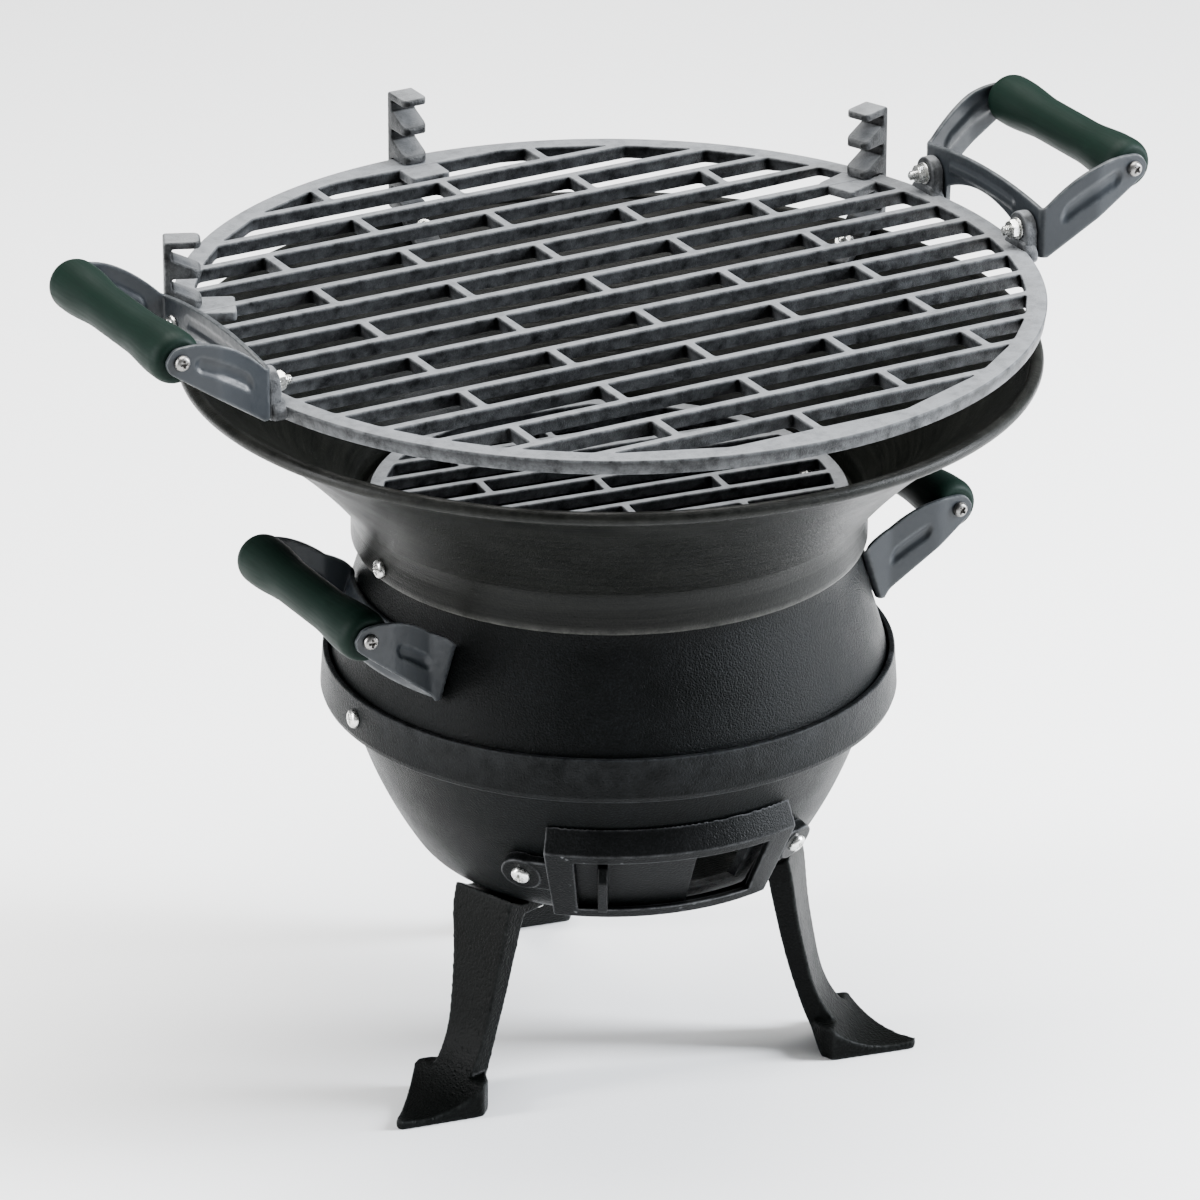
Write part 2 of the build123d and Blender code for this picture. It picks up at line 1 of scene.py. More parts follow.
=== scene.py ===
# %% [markdown]
# # A cast-iron hibachi, piece by piece
# The grill is a stack of iron castings held together with small zinc-plated screws: a pot on three
# legs, a barrel, a flared bowl, a grate for the coals and a notched rack for the cooking grate.
# First the engineering model is loaded. It is the frame: every piece made below stands in for one
# of its nodes, moves with that node's body and repeats its main sizes, so the pieces fit together.

# %% Load the frame
import json
from math import atan2, cos, degrees, pi, radians, sin, sqrt

import bmesh
import bpy
import numpy as np
from mathutils import Matrix, Vector


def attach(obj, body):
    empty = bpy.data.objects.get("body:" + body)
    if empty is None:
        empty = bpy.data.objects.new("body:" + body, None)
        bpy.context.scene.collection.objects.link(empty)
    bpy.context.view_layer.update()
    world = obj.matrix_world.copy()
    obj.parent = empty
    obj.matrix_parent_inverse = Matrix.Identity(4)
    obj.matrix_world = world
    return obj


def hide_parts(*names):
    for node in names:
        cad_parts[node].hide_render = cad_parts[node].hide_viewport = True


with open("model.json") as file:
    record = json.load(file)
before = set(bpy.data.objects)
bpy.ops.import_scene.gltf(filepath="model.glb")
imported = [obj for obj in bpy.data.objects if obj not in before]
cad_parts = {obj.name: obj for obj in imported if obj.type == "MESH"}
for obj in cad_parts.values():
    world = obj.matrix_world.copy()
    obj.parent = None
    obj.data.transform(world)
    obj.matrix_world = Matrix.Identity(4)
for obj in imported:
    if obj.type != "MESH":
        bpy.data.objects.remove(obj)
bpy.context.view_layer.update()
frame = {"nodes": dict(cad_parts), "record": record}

MM = 0.001

# %% [markdown]
# ## Tools for surfaces
# Almost every piece is one of three kinds of surface. A turned piece is an outline carried round
# an axis. A plate is an outline, perhaps with holes, carried through its thickness while it
# shrinks a little at both faces, which rounds its edges. A pressed sheet is a strip that follows
# a path. All three are grids of points, so they can be worked out as whole arrays.

# %% Outlines
def unit(v):
    """Vectors of length one: v divided by its own length."""
    return v / np.maximum(np.linalg.norm(v, axis=-1, keepdims=True), 1e-12)


def rounded(points, radius, steps=6, closed=True):
    """Outline with round corners. An arc touches both sides of each corner: it begins
    radius / tan(half the corner's angle) before the corner, and its centre lies
    radius / sin(half the angle) along the line that halves the corner."""
    p = np.asarray(points, float)
    radius = np.broadcast_to(np.asarray(radius, float), (len(p),))
    a, b = np.roll(p, 1, 0) - p, np.roll(p, -1, 0) - p
    reach = 0.49 * np.minimum(np.linalg.norm(a, axis=1), np.linalg.norm(b, axis=1))
    a, b = unit(a), unit(b)
    half = np.arccos(np.clip((a * b).sum(1), -0.99999, 0.9999)) / 2
    cut = np.minimum(radius / np.tan(half), reach)
    r = cut * np.tan(half)
    centre = p + unit(a + b) * (r / np.sin(half))[:, None]
    first, last = p + a * cut[:, None] - centre, p + b * cut[:, None] - centre
    start = np.arctan2(first[:, 1], first[:, 0])
    turn = (np.arctan2(last[:, 1], last[:, 0]) - start + pi) % (2 * pi) - pi
    angle = start[:, None] + turn[:, None] * np.linspace(0, 1, steps)
    arcs = centre[:, None] + r[:, None, None] * np.stack([np.cos(angle), np.sin(angle)], -1)
    if closed:
        return arcs.reshape(-1, 2)
    return np.concatenate([p[:1], arcs[1:-1].reshape(-1, 2), p[-1:]])


def even(line, step, closed=True):
    """The same line with points at even distances: positions are read off its running length."""
    p = np.vstack([line, line[:1]]) if closed else np.asarray(line, float)
    run = np.r_[0, np.cumsum(np.linalg.norm(np.diff(p, axis=0), axis=1))]
    at = np.linspace(0, run[-1], max(8, int(round(run[-1] / step))) + 1)
    q = np.stack([np.interp(at, run, p[:, i]) for i in range(p.shape[1])], 1)
    return q[:-1] if closed else q


def soften(loop, step, rounds):
    """Even points, each averaged with its neighbours a few times, so that corners come out round."""
    q = even(loop, step)
    for _ in range(rounds):
        q = (np.roll(q, 1, 0) + 2 * q + np.roll(q, -1, 0)) / 4
    return q


def thin_out(loop, least=0.6):
    """Drops points on straight runs: a point stays where the outline turns by more than a little."""
    a, b = unit(loop - np.roll(loop, 1, 0)), unit(np.roll(loop, -1, 0) - loop)
    bend = np.abs(a[:, 0] * b[:, 1] - a[:, 1] * b[:, 0]) > sin(radians(least))
    return loop[bend | np.roll(bend, 1) | np.roll(bend, -1)]


def grow(loop, amount):
    """Anticlockwise outline moved outwards: each point goes along the mean of its two edges'
    normals, by amount over the cosine between that mean and an edge's normal."""
    edge = np.roll(loop, -1, 0) - loop
    n = unit(np.stack([edge[:, 1], -edge[:, 0]], 1))
    m = unit(n + np.roll(n, 1, 0))
    return loop + amount * m / np.maximum((m * n).sum(1), 0.5)[:, None]


def anticlockwise(loop):
    """Outline whose enclosed area, half the sum of x dy - y dx, is positive."""
    nxt = np.roll(loop, -1, 0)
    area = (loop[:, 0] * nxt[:, 1] - loop[:, 1] * nxt[:, 0]).sum()
    return loop if area > 0 else loop[::-1]


# %% Grids, turned pieces and plates
def grid_faces(rows, cols, wrap_rows=False, wrap_cols=False):
    """Four-sided faces between neighbours of a grid that is stored row after row."""
    i = np.arange(rows if wrap_rows else rows - 1)
    j = np.arange(cols if wrap_cols else cols - 1)
    i, j = np.meshgrid(i, j, indexing="ij")
    up, right = (i + 1) % rows, (j + 1) % cols
    return np.stack([i * cols + j, i * cols + right, up * cols + right, up * cols + j], -1).reshape(-1, 4)


def turned(profile, steps=240, start=0.0):
    """Closed outline (r, z) carried round Z: point (r cos a, r sin a, z) at each angle a."""
    a = radians(start) + np.linspace(0, 2 * pi, steps, endpoint=False)[:, None]
    r, z = profile[:, 0][None], profile[:, 1][None]
    points = np.stack([r * np.cos(a), r * np.sin(a), z + 0 * a], -1)
    return points.reshape(-1, 3), grid_faces(steps, len(profile), True, True).tolist()


def together(*shapes):
    """Several shapes as one: the later ones' faces count on from the earlier ones' points."""
    points, faces, base = [], [], 0
    for p, f in shapes:
        points.append(p)
        faces += [[i + base for i in face] for face in f]
        base += len(p)
    return np.concatenate(points), faces


def to_bmesh(shape):
    """Points and faces as a mesh that can still be edited."""
    mesh = bpy.data.meshes.new("draft")
    mesh.from_pydata(shape[0].tolist(), [], shape[1])
    bm = bmesh.new()
    bm.from_mesh(mesh)
    bpy.data.meshes.remove(mesh)
    return bm


def plate(outer, holes, levels):
    """Plate with holes. levels lists (height, inset) from one face to the other: at each height
    the outer outline is drawn in by inset and every hole is widened by it. The two faces are
    filled with triangles between the outlines."""
    points, faces, base = [], [], 0
    for loop, side in [(outer, -1)] + [(hole, 1) for hole in holes]:
        loop = anticlockwise(loop)
        rings = np.stack([np.c_[grow(loop, side * inset), np.full(len(loop), h)] for h, inset in levels])
        points.append(rings.reshape(-1, 3))
        faces.append(grid_faces(len(levels), len(loop), wrap_cols=True) + base)
        base += len(points[-1])
    bm = to_bmesh((np.concatenate(points), np.concatenate(faces).tolist()))
    for height in (levels[0][0], levels[-1][0]):
        rim = [e for e in bm.edges if e.is_boundary and all(abs(v.co.z - height) < 1e-3 for v in e.verts)]
        bmesh.ops.triangle_fill(bm, edges=rim, use_beauty=True, use_dissolve=False)
    bm.verts.index_update()
    shape = np.array([v.co[:] for v in bm.verts]), [[v.index for v in f.verts] for f in bm.faces]
    bm.free()
    return shape


def edge_levels(low, high, r):
    """Levels of a plate whose edges are rounded with radius r: a quarter circle at each face."""
    t = np.linspace(0, pi / 2, 4)
    top = [(high - r * (1 - sin(a)), r * (1 - cos(a))) for a in t]
    return [(low + r - r * sin(a), r - r * cos(a)) for a in t[::-1]] + top


def turn_z(shape, angle):
    """Shape turned about Z: x cos a - y sin a, x sin a + y cos a."""
    c, s = cos(radians(angle)), sin(radians(angle))
    return shape[0] @ np.array([[c, s, 0], [-s, c, 0], [0, 0, 1]]), shape[1]


def aim(shape, origin, normal, hint=(0, 0, 1)):
    """Shape carried from the XY plane to a plane at origin: its Z goes along normal."""
    n = unit(np.asarray(normal, float))
    hint = np.asarray(hint if abs(np.dot(n, hint)) < 0.99 else (1, 0, 0), float)
    x = unit(np.cross(hint, n))
    return shape[0] @ np.stack([x, np.cross(n, x), n]) + np.asarray(origin), shape[1]


BODY_OF = {n: b for b, names in frame["record"]["behaviour"]["bodies"].items() for n in names}
made = []


def put(name, shape, node, sharp=38.0):
    """One finished piece: points in mm become a mesh in metres, doubles are merged, faces are
    turned outwards, and the piece takes over from its engineering node on the same body."""
    bm = to_bmesh((shape[0] * MM, shape[1]))
    bmesh.ops.remove_doubles(bm, verts=bm.verts, dist=2e-6)
    bmesh.ops.recalc_face_normals(bm, faces=bm.faces)
    mesh = bpy.data.meshes.new(name)
    bm.to_mesh(mesh)
    open_edges = sum(e.is_boundary for e in bm.edges)
    bm.free()
    mesh.polygons.foreach_set("use_smooth", np.ones(len(mesh.polygons), bool))
    mesh.set_sharp_from_angle(angle=radians(sharp))
    piece = bpy.data.objects.new(name, mesh)
    bpy.context.scene.collection.objects.link(piece)
    return adopt(piece, node, open_edges)


def adopt(piece, node, open_edges=0):
    """Piece joined to its node's body, standing in for the node."""
    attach(piece, BODY_OF[node])
    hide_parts(node)
    made.append(piece)
    print(f"{piece.name}: {len(piece.data.polygons)} faces, {open_edges} open edges, on {BODY_OF[node]}")
    return piece


# %% [markdown]
# ## The three pots
# Bowl, barrel and lower pot are sand castings about 4 mm thick. On a turned casting the outline
# of the wall says everything, so each is one closed outline carried round the axis. The outer
# and inner faces are the same curve moved apart by half the wall, and the lips are rounded.

# %% Wall outlines
def arc_through(p, q, r, count):
    """Points on the circle through three points. Its centre is where the perpendicular
    bisectors of p q and q r meet, which is one small linear system."""
    p, q, r = (np.asarray(v, float) for v in (p, q, r))
    c = np.linalg.solve(2 * np.stack([q - p, r - q]), [q @ q - p @ p, r @ r - q @ q])
    a0, a1 = atan2(*(p - c)[::-1]), atan2(*(r - c)[::-1])
    am = (atan2(*(q - c)[::-1]) - a0) % (2 * pi)
    sweep = (a1 - a0) % (2 * pi)
    sweep = sweep if am < sweep else sweep - 2 * pi
    a = a0 + sweep * np.linspace(0, 1, count)
    return c + np.linalg.norm(p - c) * np.stack([np.cos(a), np.sin(a)], 1)


def wall(line, thickness, lip=1.2):
    """Closed outline round a line: the line moved half the thickness to each side, with its
    two ends closed and their corners rounded by lip."""
    line = even(line, 1.5, closed=False)
    t = unit(np.gradient(line, axis=0))
    n = np.stack([t[:, 1], -t[:, 0]], 1) * thickness / 2
    right, left = line + n, line - n
    cap = lambda a, b, c, d: rounded([a, b, c, d], [0, lip, lip, 0], 5, closed=False)
    end = cap(right[-3], right[-1], left[-1], left[-3])
    begin = cap(left[2], left[0], right[0], right[2])
    return np.concatenate([right[2:-2], end, left[2:-2][::-1], begin])


WALL = 4.0
flare = arc_through((105.6, 242.0), (132.2, 271.2), (171.5, 301.5), 60)
BEAD = (171.5, 301.5, 2.8)
collar_points = [(103, 222.7), (103, 233.7), (104.2, 238.5), (105.6, 242.0)]
collar_in = rounded(collar_points, [0, 6, 6, 0], 6, closed=False)

# %% Bowl
def bowl_outline():
    """Wall along collar and flare, with a round bead at the rim: where the wall would end, the
    outline runs round a circle of the bead's radius."""
    line = even(np.concatenate([collar_in, flare[1:]]), 1.5, closed=False)
    t = unit(np.gradient(line, axis=0))
    n = np.stack([t[:, 1], -t[:, 0]], 1) * WALL / 2
    outer, inner = (line + n)[1:-2], (line - n)[1:-2]
    centre = np.array(BEAD[:2])
    a0, a1 = atan2(*(outer[-1] - centre)[::-1]), atan2(*(inner[-1] - centre)[::-1])
    a = np.linspace(a0, a1 if a1 > a0 else a1 + 2 * pi, 26)[1:-1]
    bead = centre + BEAD[2] * np.stack([np.cos(a), np.sin(a)], 1)
    ledge = [(101, 235.3), (99.5, 235.5), (95.6, 235.5), (95.0, 234.9), (95.0, 232.3), (95.6, 231.8),
             (101, 231.7)]
    low = [(101.0, 224.0), (101.6, 222.8), (104.4, 222.8), (105.0, 224.0)]
    inner = inner[inner[:, 1] > 236.5]
    return np.concatenate([outer[outer[:, 1] > 225], bead, inner[::-1], ledge, low])


put("bowl_casting", turned(bowl_outline(), 288), "bowl")

# %% Barrel
barrel_points = [(111.8, 157.7), (111.8, 172.5), (98.9, 215.5), (97.3, 231.5)]
barrel_line = rounded(barrel_points, [0, 25, 40, 0], 14, closed=False)
put("upper_pot_casting", turned(wall(barrel_line, WALL), 288), "upper_pot")

# %% [markdown]
# The lower pot carries a socket band at its top, into which the barrel drops, and it has an air
# inlet behind the vent. The inlet is left out of the grid: the faces inside it are dropped from
# the outer and the inner wall, and four strips join the two walls round the hole.

# %% Lower pot
INLET = (252.7, 277.7)
INLET_Z = (99.75, 119.75)


def lower_pot_outline():
    """Outer wall upwards, over the band, then the inner wall down to the axis and the floor
    back: pieces of the wall's middle line moved by half its thickness."""
    line = np.concatenate([
        [(8, 85.5), (58, 85.5)],
        arc_through((58, 85.5), (70.5, 88.1), (79.5, 96.0), 12)[1:],
        arc_through((79.5, 96.0), (90.0, 114.0), (98.4, 133.0), 24)[1:],
        [(102.5, 144.2), (106.6, 155.5)],
    ])
    line = even(line, 1.25, closed=False)
    t = unit(np.gradient(line, axis=0))
    n = np.stack([t[:, 1], -t[:, 0]], 1) * WALL / 2
    outer, inner = line + n, line - n
    band = rounded(
        [(108.2, 153.0), (111.5, 154.2), (117.2, 155.6), (118.0, 158.0), (116.9, 174.0), (114.3, 174.0),
         (114.3, 157.5), (103.6, 157.5), (104.4, 154.0)],
        [0, 2.0, 1.2, 0.8, 0.9, 0.7, 0.4, 0.8, 0], 5, closed=False)
    return outer[outer[:, 1] < 152.5], band, inner[inner[:, 1] < 152.5][::-1]


outer_wall, band_part, inner_wall = lower_pot_outline()


def window_rows(side):
    """Which rows of a wall lie in the inlet's height, with two rows moved onto its edges."""
    rising = side if side[0, 1] < side[-1, 1] else side[::-1]
    keep = (rising[:, 1] < INLET_Z[0] - 0.4) | (rising[:, 1] > INLET_Z[1] + 0.4)
    low, high = rising[keep & (rising[:, 1] < INLET_Z[0])], rising[keep & (rising[:, 1] > INLET_Z[1])]
    z = np.linspace(*INLET_Z, 9)
    mid = np.stack([np.interp(z, rising[:, 1], rising[:, 0]), z], 1)
    return np.concatenate([low, mid, high]), len(low)


out_rows, out_first = window_rows(outer_wall)
in_rows, in_first = window_rows(inner_wall)
pot_outline = np.concatenate([[(0.0, 83.5)], out_rows, band_part, in_rows[::-1], [(0.0, 87.5)]])


def pot_with_inlet(outline, steps=288):
    """Turned wall, less the faces whose angle and height lie in the inlet, plus the four
    strips of the opening: top, bottom and two sides, between the outer and the inner grid."""
    share = (INLET[1] - INLET[0]) / 20
    a = np.r_[np.linspace(*INLET, 21), np.linspace(INLET[1], INLET[0] + 360, steps - 19)[1:-1]]
    a = np.radians(a)[:, None]
    rows, cols = len(a), len(outline)
    points = np.stack([outline[:, 0] * np.cos(a), outline[:, 0] * np.sin(a), outline[:, 1] + 0 * a], -1)
    faces = grid_faces(rows, cols, wrap_rows=True)
    step, col = faces[:, 0] // cols, faces[:, 0] % cols
    o0 = 1 + out_first
    i1 = cols - 2 - in_first
    gone = (step < 20) & (((col >= o0) & (col < o0 + 8)) | ((col >= i1 - 8) & (col < i1)))
    faces = faces[~gone].tolist()
    at = lambda i, j: i * cols + j
    for i in range(20):
        faces += [[at(i, o0), at(i + 1, o0), at(i + 1, i1), at(i, i1)],
                  [at(i, o0 + 8), at(i + 1, o0 + 8), at(i + 1, i1 - 8), at(i, i1 - 8)]]
    for j in range(8):
        for i in (0, 20):
            faces.append([at(i, o0 + j), at(i, o0 + j + 1), at(i, i1 - j - 1), at(i, i1 - j)])
    print(f"inlet: {share:.2f} degrees to a column, {int(gone.sum())} faces left out")
    return points.reshape(-1, 3), faces


put("lower_pot_casting", pot_with_inlet(pot_outline), "lower_pot")

# %% [markdown]
# ## The two grates
# A cast grate is flat on top and every bar is a little narrower below, so that it leaves the
# sand. That is a plate with many holes: rows between the bars, parted by ribs that step sideways
# from row to row like bricks. Each hole is bounded by bars, ribs and the round ring.

# %% Grates
def hole_between(x0, x1, y0, y1, inner):
    """Hole in one row: on each side the nearer of the rib and the ring, whose x at height y
    is the root of inner squared less y squared. Its corners are softened."""
    near = 0.0 if x0 < 0 < x1 else min(abs(x0), abs(x1))
    reach = sqrt(max(inner**2 - near**2, 0.0))
    y0, y1 = max(y0, -reach), min(y1, reach)
    y = np.linspace(y0, y1, 90)
    ring = np.sqrt(np.maximum(inner**2 - y**2, 0))
    right, left = np.minimum(x1, ring), np.maximum(x0, -ring)
    loop = np.concatenate([np.stack([right, y], 1), np.stack([left, y], 1)[::-1]])
    return thin_out(soften(loop, 0.55, 5))


def grate_holes(inner, pitch, rib_step, bar, last_row):
    """All holes, row by row: row k lies between bars k and k + 1, and its ribs stand at even
    steps where k is even and at odd steps where it is odd."""
    holes = []
    for k in range(-last_row - 1, last_row + 1):
        y0, y1 = k * pitch + bar / 2, (k + 1) * pitch - bar / 2
        middle = (k + 0.5) * pitch
        steps = (0, -2, 2) if k % 2 == 0 else (-1, 1)
        ribs = sorted(s * rib_step for s in steps if sqrt((s * rib_step) ** 2 + middle**2) < inner - bar)
        stops = [-inner] + ribs + [inner]
        for a, b in zip(stops[:-1], stops[1:]):
            x0 = a + bar / 2 if a > -inner else a
            x1 = b - bar / 2 if b < inner else b
            if min(y1, inner) - max(y0, -inner) > 3 and x1 - x0 > 4:
                holes.append(hole_between(x0, x1, y0, y1, inner))
    return holes


def circle(r, count):
    """Points of a circle round the origin."""
    a = np.linspace(0, 2 * pi, count, endpoint=False)
    return r * np.stack([np.cos(a), np.sin(a)], 1)


GRATE_TOP, GRATE_DEPTH = 327.0, 6.0
bar_levels = [(0.0, 1.0), (0.35, 0.75), (4.6, 0.1), (5.4, 0.0), (5.75, 0.12), (5.95, 0.38), (6.0, 0.6)]
SUPPORTS = {"left": 156.0, "rear": 90.0, "right": 22.0}


def relieved(points):
    """Cooking grate, thinner under the ring where it slides over the notches. The depth below
    the top is scaled by 1 - 0.3 m, where m falls from 1 to 0 at the edge of each relief."""
    x, y = points[:, 0], points[:, 1]
    m = np.zeros(len(points))
    for a in np.radians(list(SUPPORTS.values())):
        dx = 17.5 - np.abs(x - 170 * np.cos(a))
        dy = 31.5 - np.abs(y - 170 * np.sin(a) - 22)
        m = np.maximum(m, np.clip(np.minimum(dx, dy) / 1.5, 0, 1))
    m *= np.clip((np.hypot(x, y) - 159.5) / 1.0, 0, 1)
    out = points.copy()
    out[:, 2] = GRATE_TOP - (GRATE_TOP - points[:, 2]) * (1 - 0.3 * m)
    return out


def box_outline(x0, x1, y0, y1, r):
    """Rectangle with rounded corners."""
    return rounded([(x0, y0), (x1, y0), (x1, y1), (x0, y1)], r, 6)


def cooking_grate():
    """Net of bars and ribs, a pad at each support and two lugs with fillets at each handle."""
    net = plate(circle(175, 288), grate_holes(166.5, 20.5, 51.0, 4.0, 7), bar_levels)
    net = relieved(net[0] + [0, 0, GRATE_TOP - GRATE_DEPTH]), net[1]
    pads = [turn_z(plate(box_outline(150, 173.4, -9, 9, 2.0), [], edge_levels(322.9, 326.85, 0.6)), a)
            for a in SUPPORTS.values()]
    lug = rounded([(-7, 321.4), (7, 321.4), (7, 334.5), (6.1, 338), (3.5, 340.6), (0, 341.5), (-3.5, 340.6),
                   (-6.1, 338), (-7, 334.5)], [1.2, 1.2, 5, 5, 5, 5, 5, 5, 5], 5)
    ear = plate(lug, [], edge_levels(170.05, 175.2, 0.8))
    foot = rounded([(-9.5, 321.5), (9.5, 321.5), (9.3, 326), (6, 330), (-6, 330), (-9.3, 326)], 2.0)
    fillet = plate(foot, [], edge_levels(168.6, 174.6, 1.2))
    lugs = []
    for turn in (0, 180):
        for y in (-36, 36):
            for shape in (ear, fillet):
                p = shape[0][:, [2, 0, 1]] + [0, y, 0]
                lugs.append(turn_z((p, shape[1]), turn))
    return together(net, *pads, *lugs)


put("cooking_grate_casting", cooking_grate(), "cooking_grate")

coal_levels = [(0.0, 0.8), (0.3, 0.6), (3.8, 0.1), (4.5, 0.0), (4.8, 0.12), (4.95, 0.3), (5.0, 0.5)]
coal = plate(circle(97.5, 200), grate_holes(91.5, 14.9, 45.5, 3.2, 6), coal_levels)
put("charcoal_grate_casting", turn_z((coal[0] + [0, 0, 235.5], coal[1]), -7.0), "charcoal_grate")

# %% [markdown]
# ## Notched supports
# Three uprights stand on the rim and hold the cooking grate between their tongues. Seen from the
# side each is a comb, so it is a plate whose outline is the comb. Its width is not the same all
# over: the tongues have round tips, so every point's distance from the middle plane is scaled.

# %% Supports
def support_outline():
    """Comb in the plane of r and z: back edge, foot over the rim, tab down the bowl's inside
    along the flare's slope, then four tongues up the face."""
    run_at = int(round(0.86 * (len(flare) - 1)))
    seat = flare[run_at]
    run = unit(flare[run_at + 1] - flare[run_at - 1])
    inward = np.array([-run[1], run[0]])
    seat = seat + inward * 2.3
    comb = [(178.6, 355.9), (178.6, 304.6), (170, 304.6), seat + run * 7, seat - run * 9,
            seat - run * 9 + inward * 3.5, seat + run * 5.5 + inward * 3.5, (166, 309.1), (175.6, 310.6)]
    radii = [1.0, 1.2, 1.5, 3.0, 1.3, 1.3, 3.0, 3.0, 2.0]
    for k in (3, 2, 1):
        z = 327.4 + (2 - k) * 12.7
        comb += [(175.6, z), (163.6, z), (163.6, z + 3.1), (175.6, z + 8.2)]
        radii += [1.2, 1.2, 1.2, 2.0]
    comb += [(175.6, 352.8), (163.6, 352.8), (163.6, 355.9)]
    radii += [1.2, 1.2, 1.2]
    return even(rounded(comb, radii, 5), 0.5)


def support(angle):
    """Comb plate carried to +-5.75 mm; nearer to a tongue's tip than 3.5 mm the half-width
    follows a quarter circle of that radius."""
    p, f = plate(support_outline(), [], edge_levels(-5.75, 5.75, 0.8))
    d = np.clip(167.1 - p[:, 0], 0, 3.4)
    width = np.where(p[:, 1] > 311, 1 - (3.5 - np.sqrt(3.5**2 - d**2)) / 5.75, 1.0)
    p = np.stack([p[:, 0], -p[:, 2] * width, p[:, 1]], 1)
    return turn_z((p, f), angle)


for side, angle in SUPPORTS.items():
    put(f"grate_support_{side}_casting", support(angle), f"grate_support_{side}")

# %% [markdown]
# ## Handles
# A handle is a strip of 2 mm steel, pressed into a bracket with two arms, and a turned grip
# between them. The strip is a pressed sheet: it follows a path seen from above, it has an upper
# and a lower edge at each place, and raised ribs that stiffen it are added along its normal.

# %% Pressed sheet
def pressed_sheet(path, low, high, bulge, lean=None, thickness=2.0):
    """Closed strip. At path position i and share v of its height, the middle surface lies at
    low + v (high - low), moved along the path's normal by bulge; the two faces lie half the
    thickness to each side, and the edges between them are bevelled by half a millimetre."""
    t = unit(np.gradient(path, axis=0))
    n = np.stack([t[:, 1], -t[:, 0]], 1)[:, None, :]
    height = (high - low)[:, None]
    bevel = np.minimum(0.5, 0.3 * height)
    v = np.linspace(0, 1, 25)[None] * (1 - 2 * bevel / height) + bevel / height
    edge_top = np.concatenate([1 - 0.3 * bevel / height, np.ones_like(height), np.ones_like(height),
                               1 - 0.3 * bevel / height], 1)
    off_top = np.array([[0.85, 0.5, -0.5, -0.85]]) * thickness / 2 + 0 * height
    share = np.concatenate([v, edge_top, v[:, ::-1], 1 - edge_top], 1)
    across = np.concatenate([0 * v + thickness / 2, off_top, 0 * v - thickness / 2, -off_top], 1)
    z = low[:, None] + share * height
    side = across + bulge(path[:, None, :], share, z)
    xy = path[:, None, :] + n * side[..., None]
    if lean is not None:
        xy = xy + lean(path[:, None, :], z)
    points = np.concatenate([xy, z[..., None]], -1)
    rows, cols = share.shape
    faces = grid_faces(rows, cols, wrap_cols=True).tolist()
    faces += [list(range(cols)), list(range((rows - 1) * cols, rows * cols))]
    return points.reshape(-1, 3), faces


def stadium(along, across, length, width):
    """Raised oval: 1 inside a line of half length swollen by width, falling to 0 at its edge
    as a smooth step of the distance."""
    d = np.hypot(np.maximum(np.abs(along) - length, 0), across) / width
    s = np.clip(1.35 - d, 0, 1)
    return s * s * (3 - 2 * s)


def arm_edges(x, start, z_low, z_high, lean, grip):
    """Lower and upper edge of an arm at x: a straight line that touches the eye's circle, and
    a parabola through the web's top, a middle point and the eye's top; beyond them the circle."""
    gx, gz, eye = grip[0], grip[1], 6.1
    p = np.array([start + lean, z_low])
    to = np.array([gx, gz]) - p
    dist = np.linalg.norm(to)
    slope = atan2(to[1], to[0]) - np.arcsin(eye / dist)
    touch = p[0] + sqrt(dist**2 - eye**2) * cos(slope)
    ring = np.sqrt(np.maximum(eye**2 - (x - gx) ** 2, 0.3))
    low = np.where(x < touch, p[1] + np.maximum(x - p[0], 0) * np.tan(slope), gz - ring)
    knots = [start, start + 0.45 * (gx - start), gx - 1.5]
    heights = [z_high, z_high + 0.75 * (gz + eye - z_high), gz + eye * 0.985]
    curve = np.polyval(np.polyfit(knots, heights, 2), np.clip(x, start, gx - 1.5))
    high = np.where(x < gx - 1.5, curve, gz + ring)
    return low, high


def eased(values, rounds=6):
    """Each inner value replaced, round after round, by a weighted mean with its neighbours."""
    for _ in range(rounds):
        values = np.r_[values[0], (values[:-2] + 2 * values[1:-1] + values[2:]) / 4, values[-1]]
    return values


# %% Upper brackets
GRATE_GRIP, POT_GRIP = (216.4, 356.5), (136.3, 222.5)
# Where an arm starts, the web's lower and upper edge, and how far the lower edge starts further out
GRATE_ARM, POT_ARM = (176.4, 323.0, 343.0, 2.5), (96.4, 187.5, 207.5, 6.16)
BARREL_SLOPE = 0.308


def grate_bracket():
    """Flat web with an arch cut out below and a low arch above, and arms that splay a little
    before they run straight to the grip."""
    x_end = GRATE_GRIP[0] + 6.0
    path = even(rounded([(x_end, -49), (200, -49), (176.4, -44), (176.4, 44), (200, 49), (x_end, 49)],
                        [0, 20, 2, 2, 20, 0], 10, closed=False), 0.5, closed=False)
    x, y = path[:, 0], path[:, 1]
    low, high = arm_edges(x, *GRATE_ARM, GRATE_GRIP)
    web = (np.abs(y) < 43.5) & (x < 178)
    arch = 343 + 5 * (1 - (y / 50) ** 2)
    cut = 330.5 + 6.5 * (1 - (y / 27) ** 2)
    high = np.where(web, arch, high)
    low = np.where(web, np.where(np.abs(y) < 27, cut, 323.0), low)
    high = eased(high, 12)

    def bulge(p, share, z):
        a, b = arm_edges(p[..., 0], *GRATE_ARM, GRATE_GRIP)
        mid, tall = (a + b) / 2, b - a
        rib = stadium(p[..., 0] - 197.5, z - mid - 0.04 * tall, 9.5, 3.3)
        on_arm = (p[..., 0] > 180).astype(float)
        foot = 343 + 5 * (1 - (p[..., 1] / 50) ** 2)
        strip = stadium(p[..., 1], z - (foot - 7.2), 23.0, 2.6) * (1 - on_arm)
        return 1.1 * rib * on_arm - 0.8 * strip * (p[..., 0] < 179)

    return pressed_sheet(path, low, high, bulge)


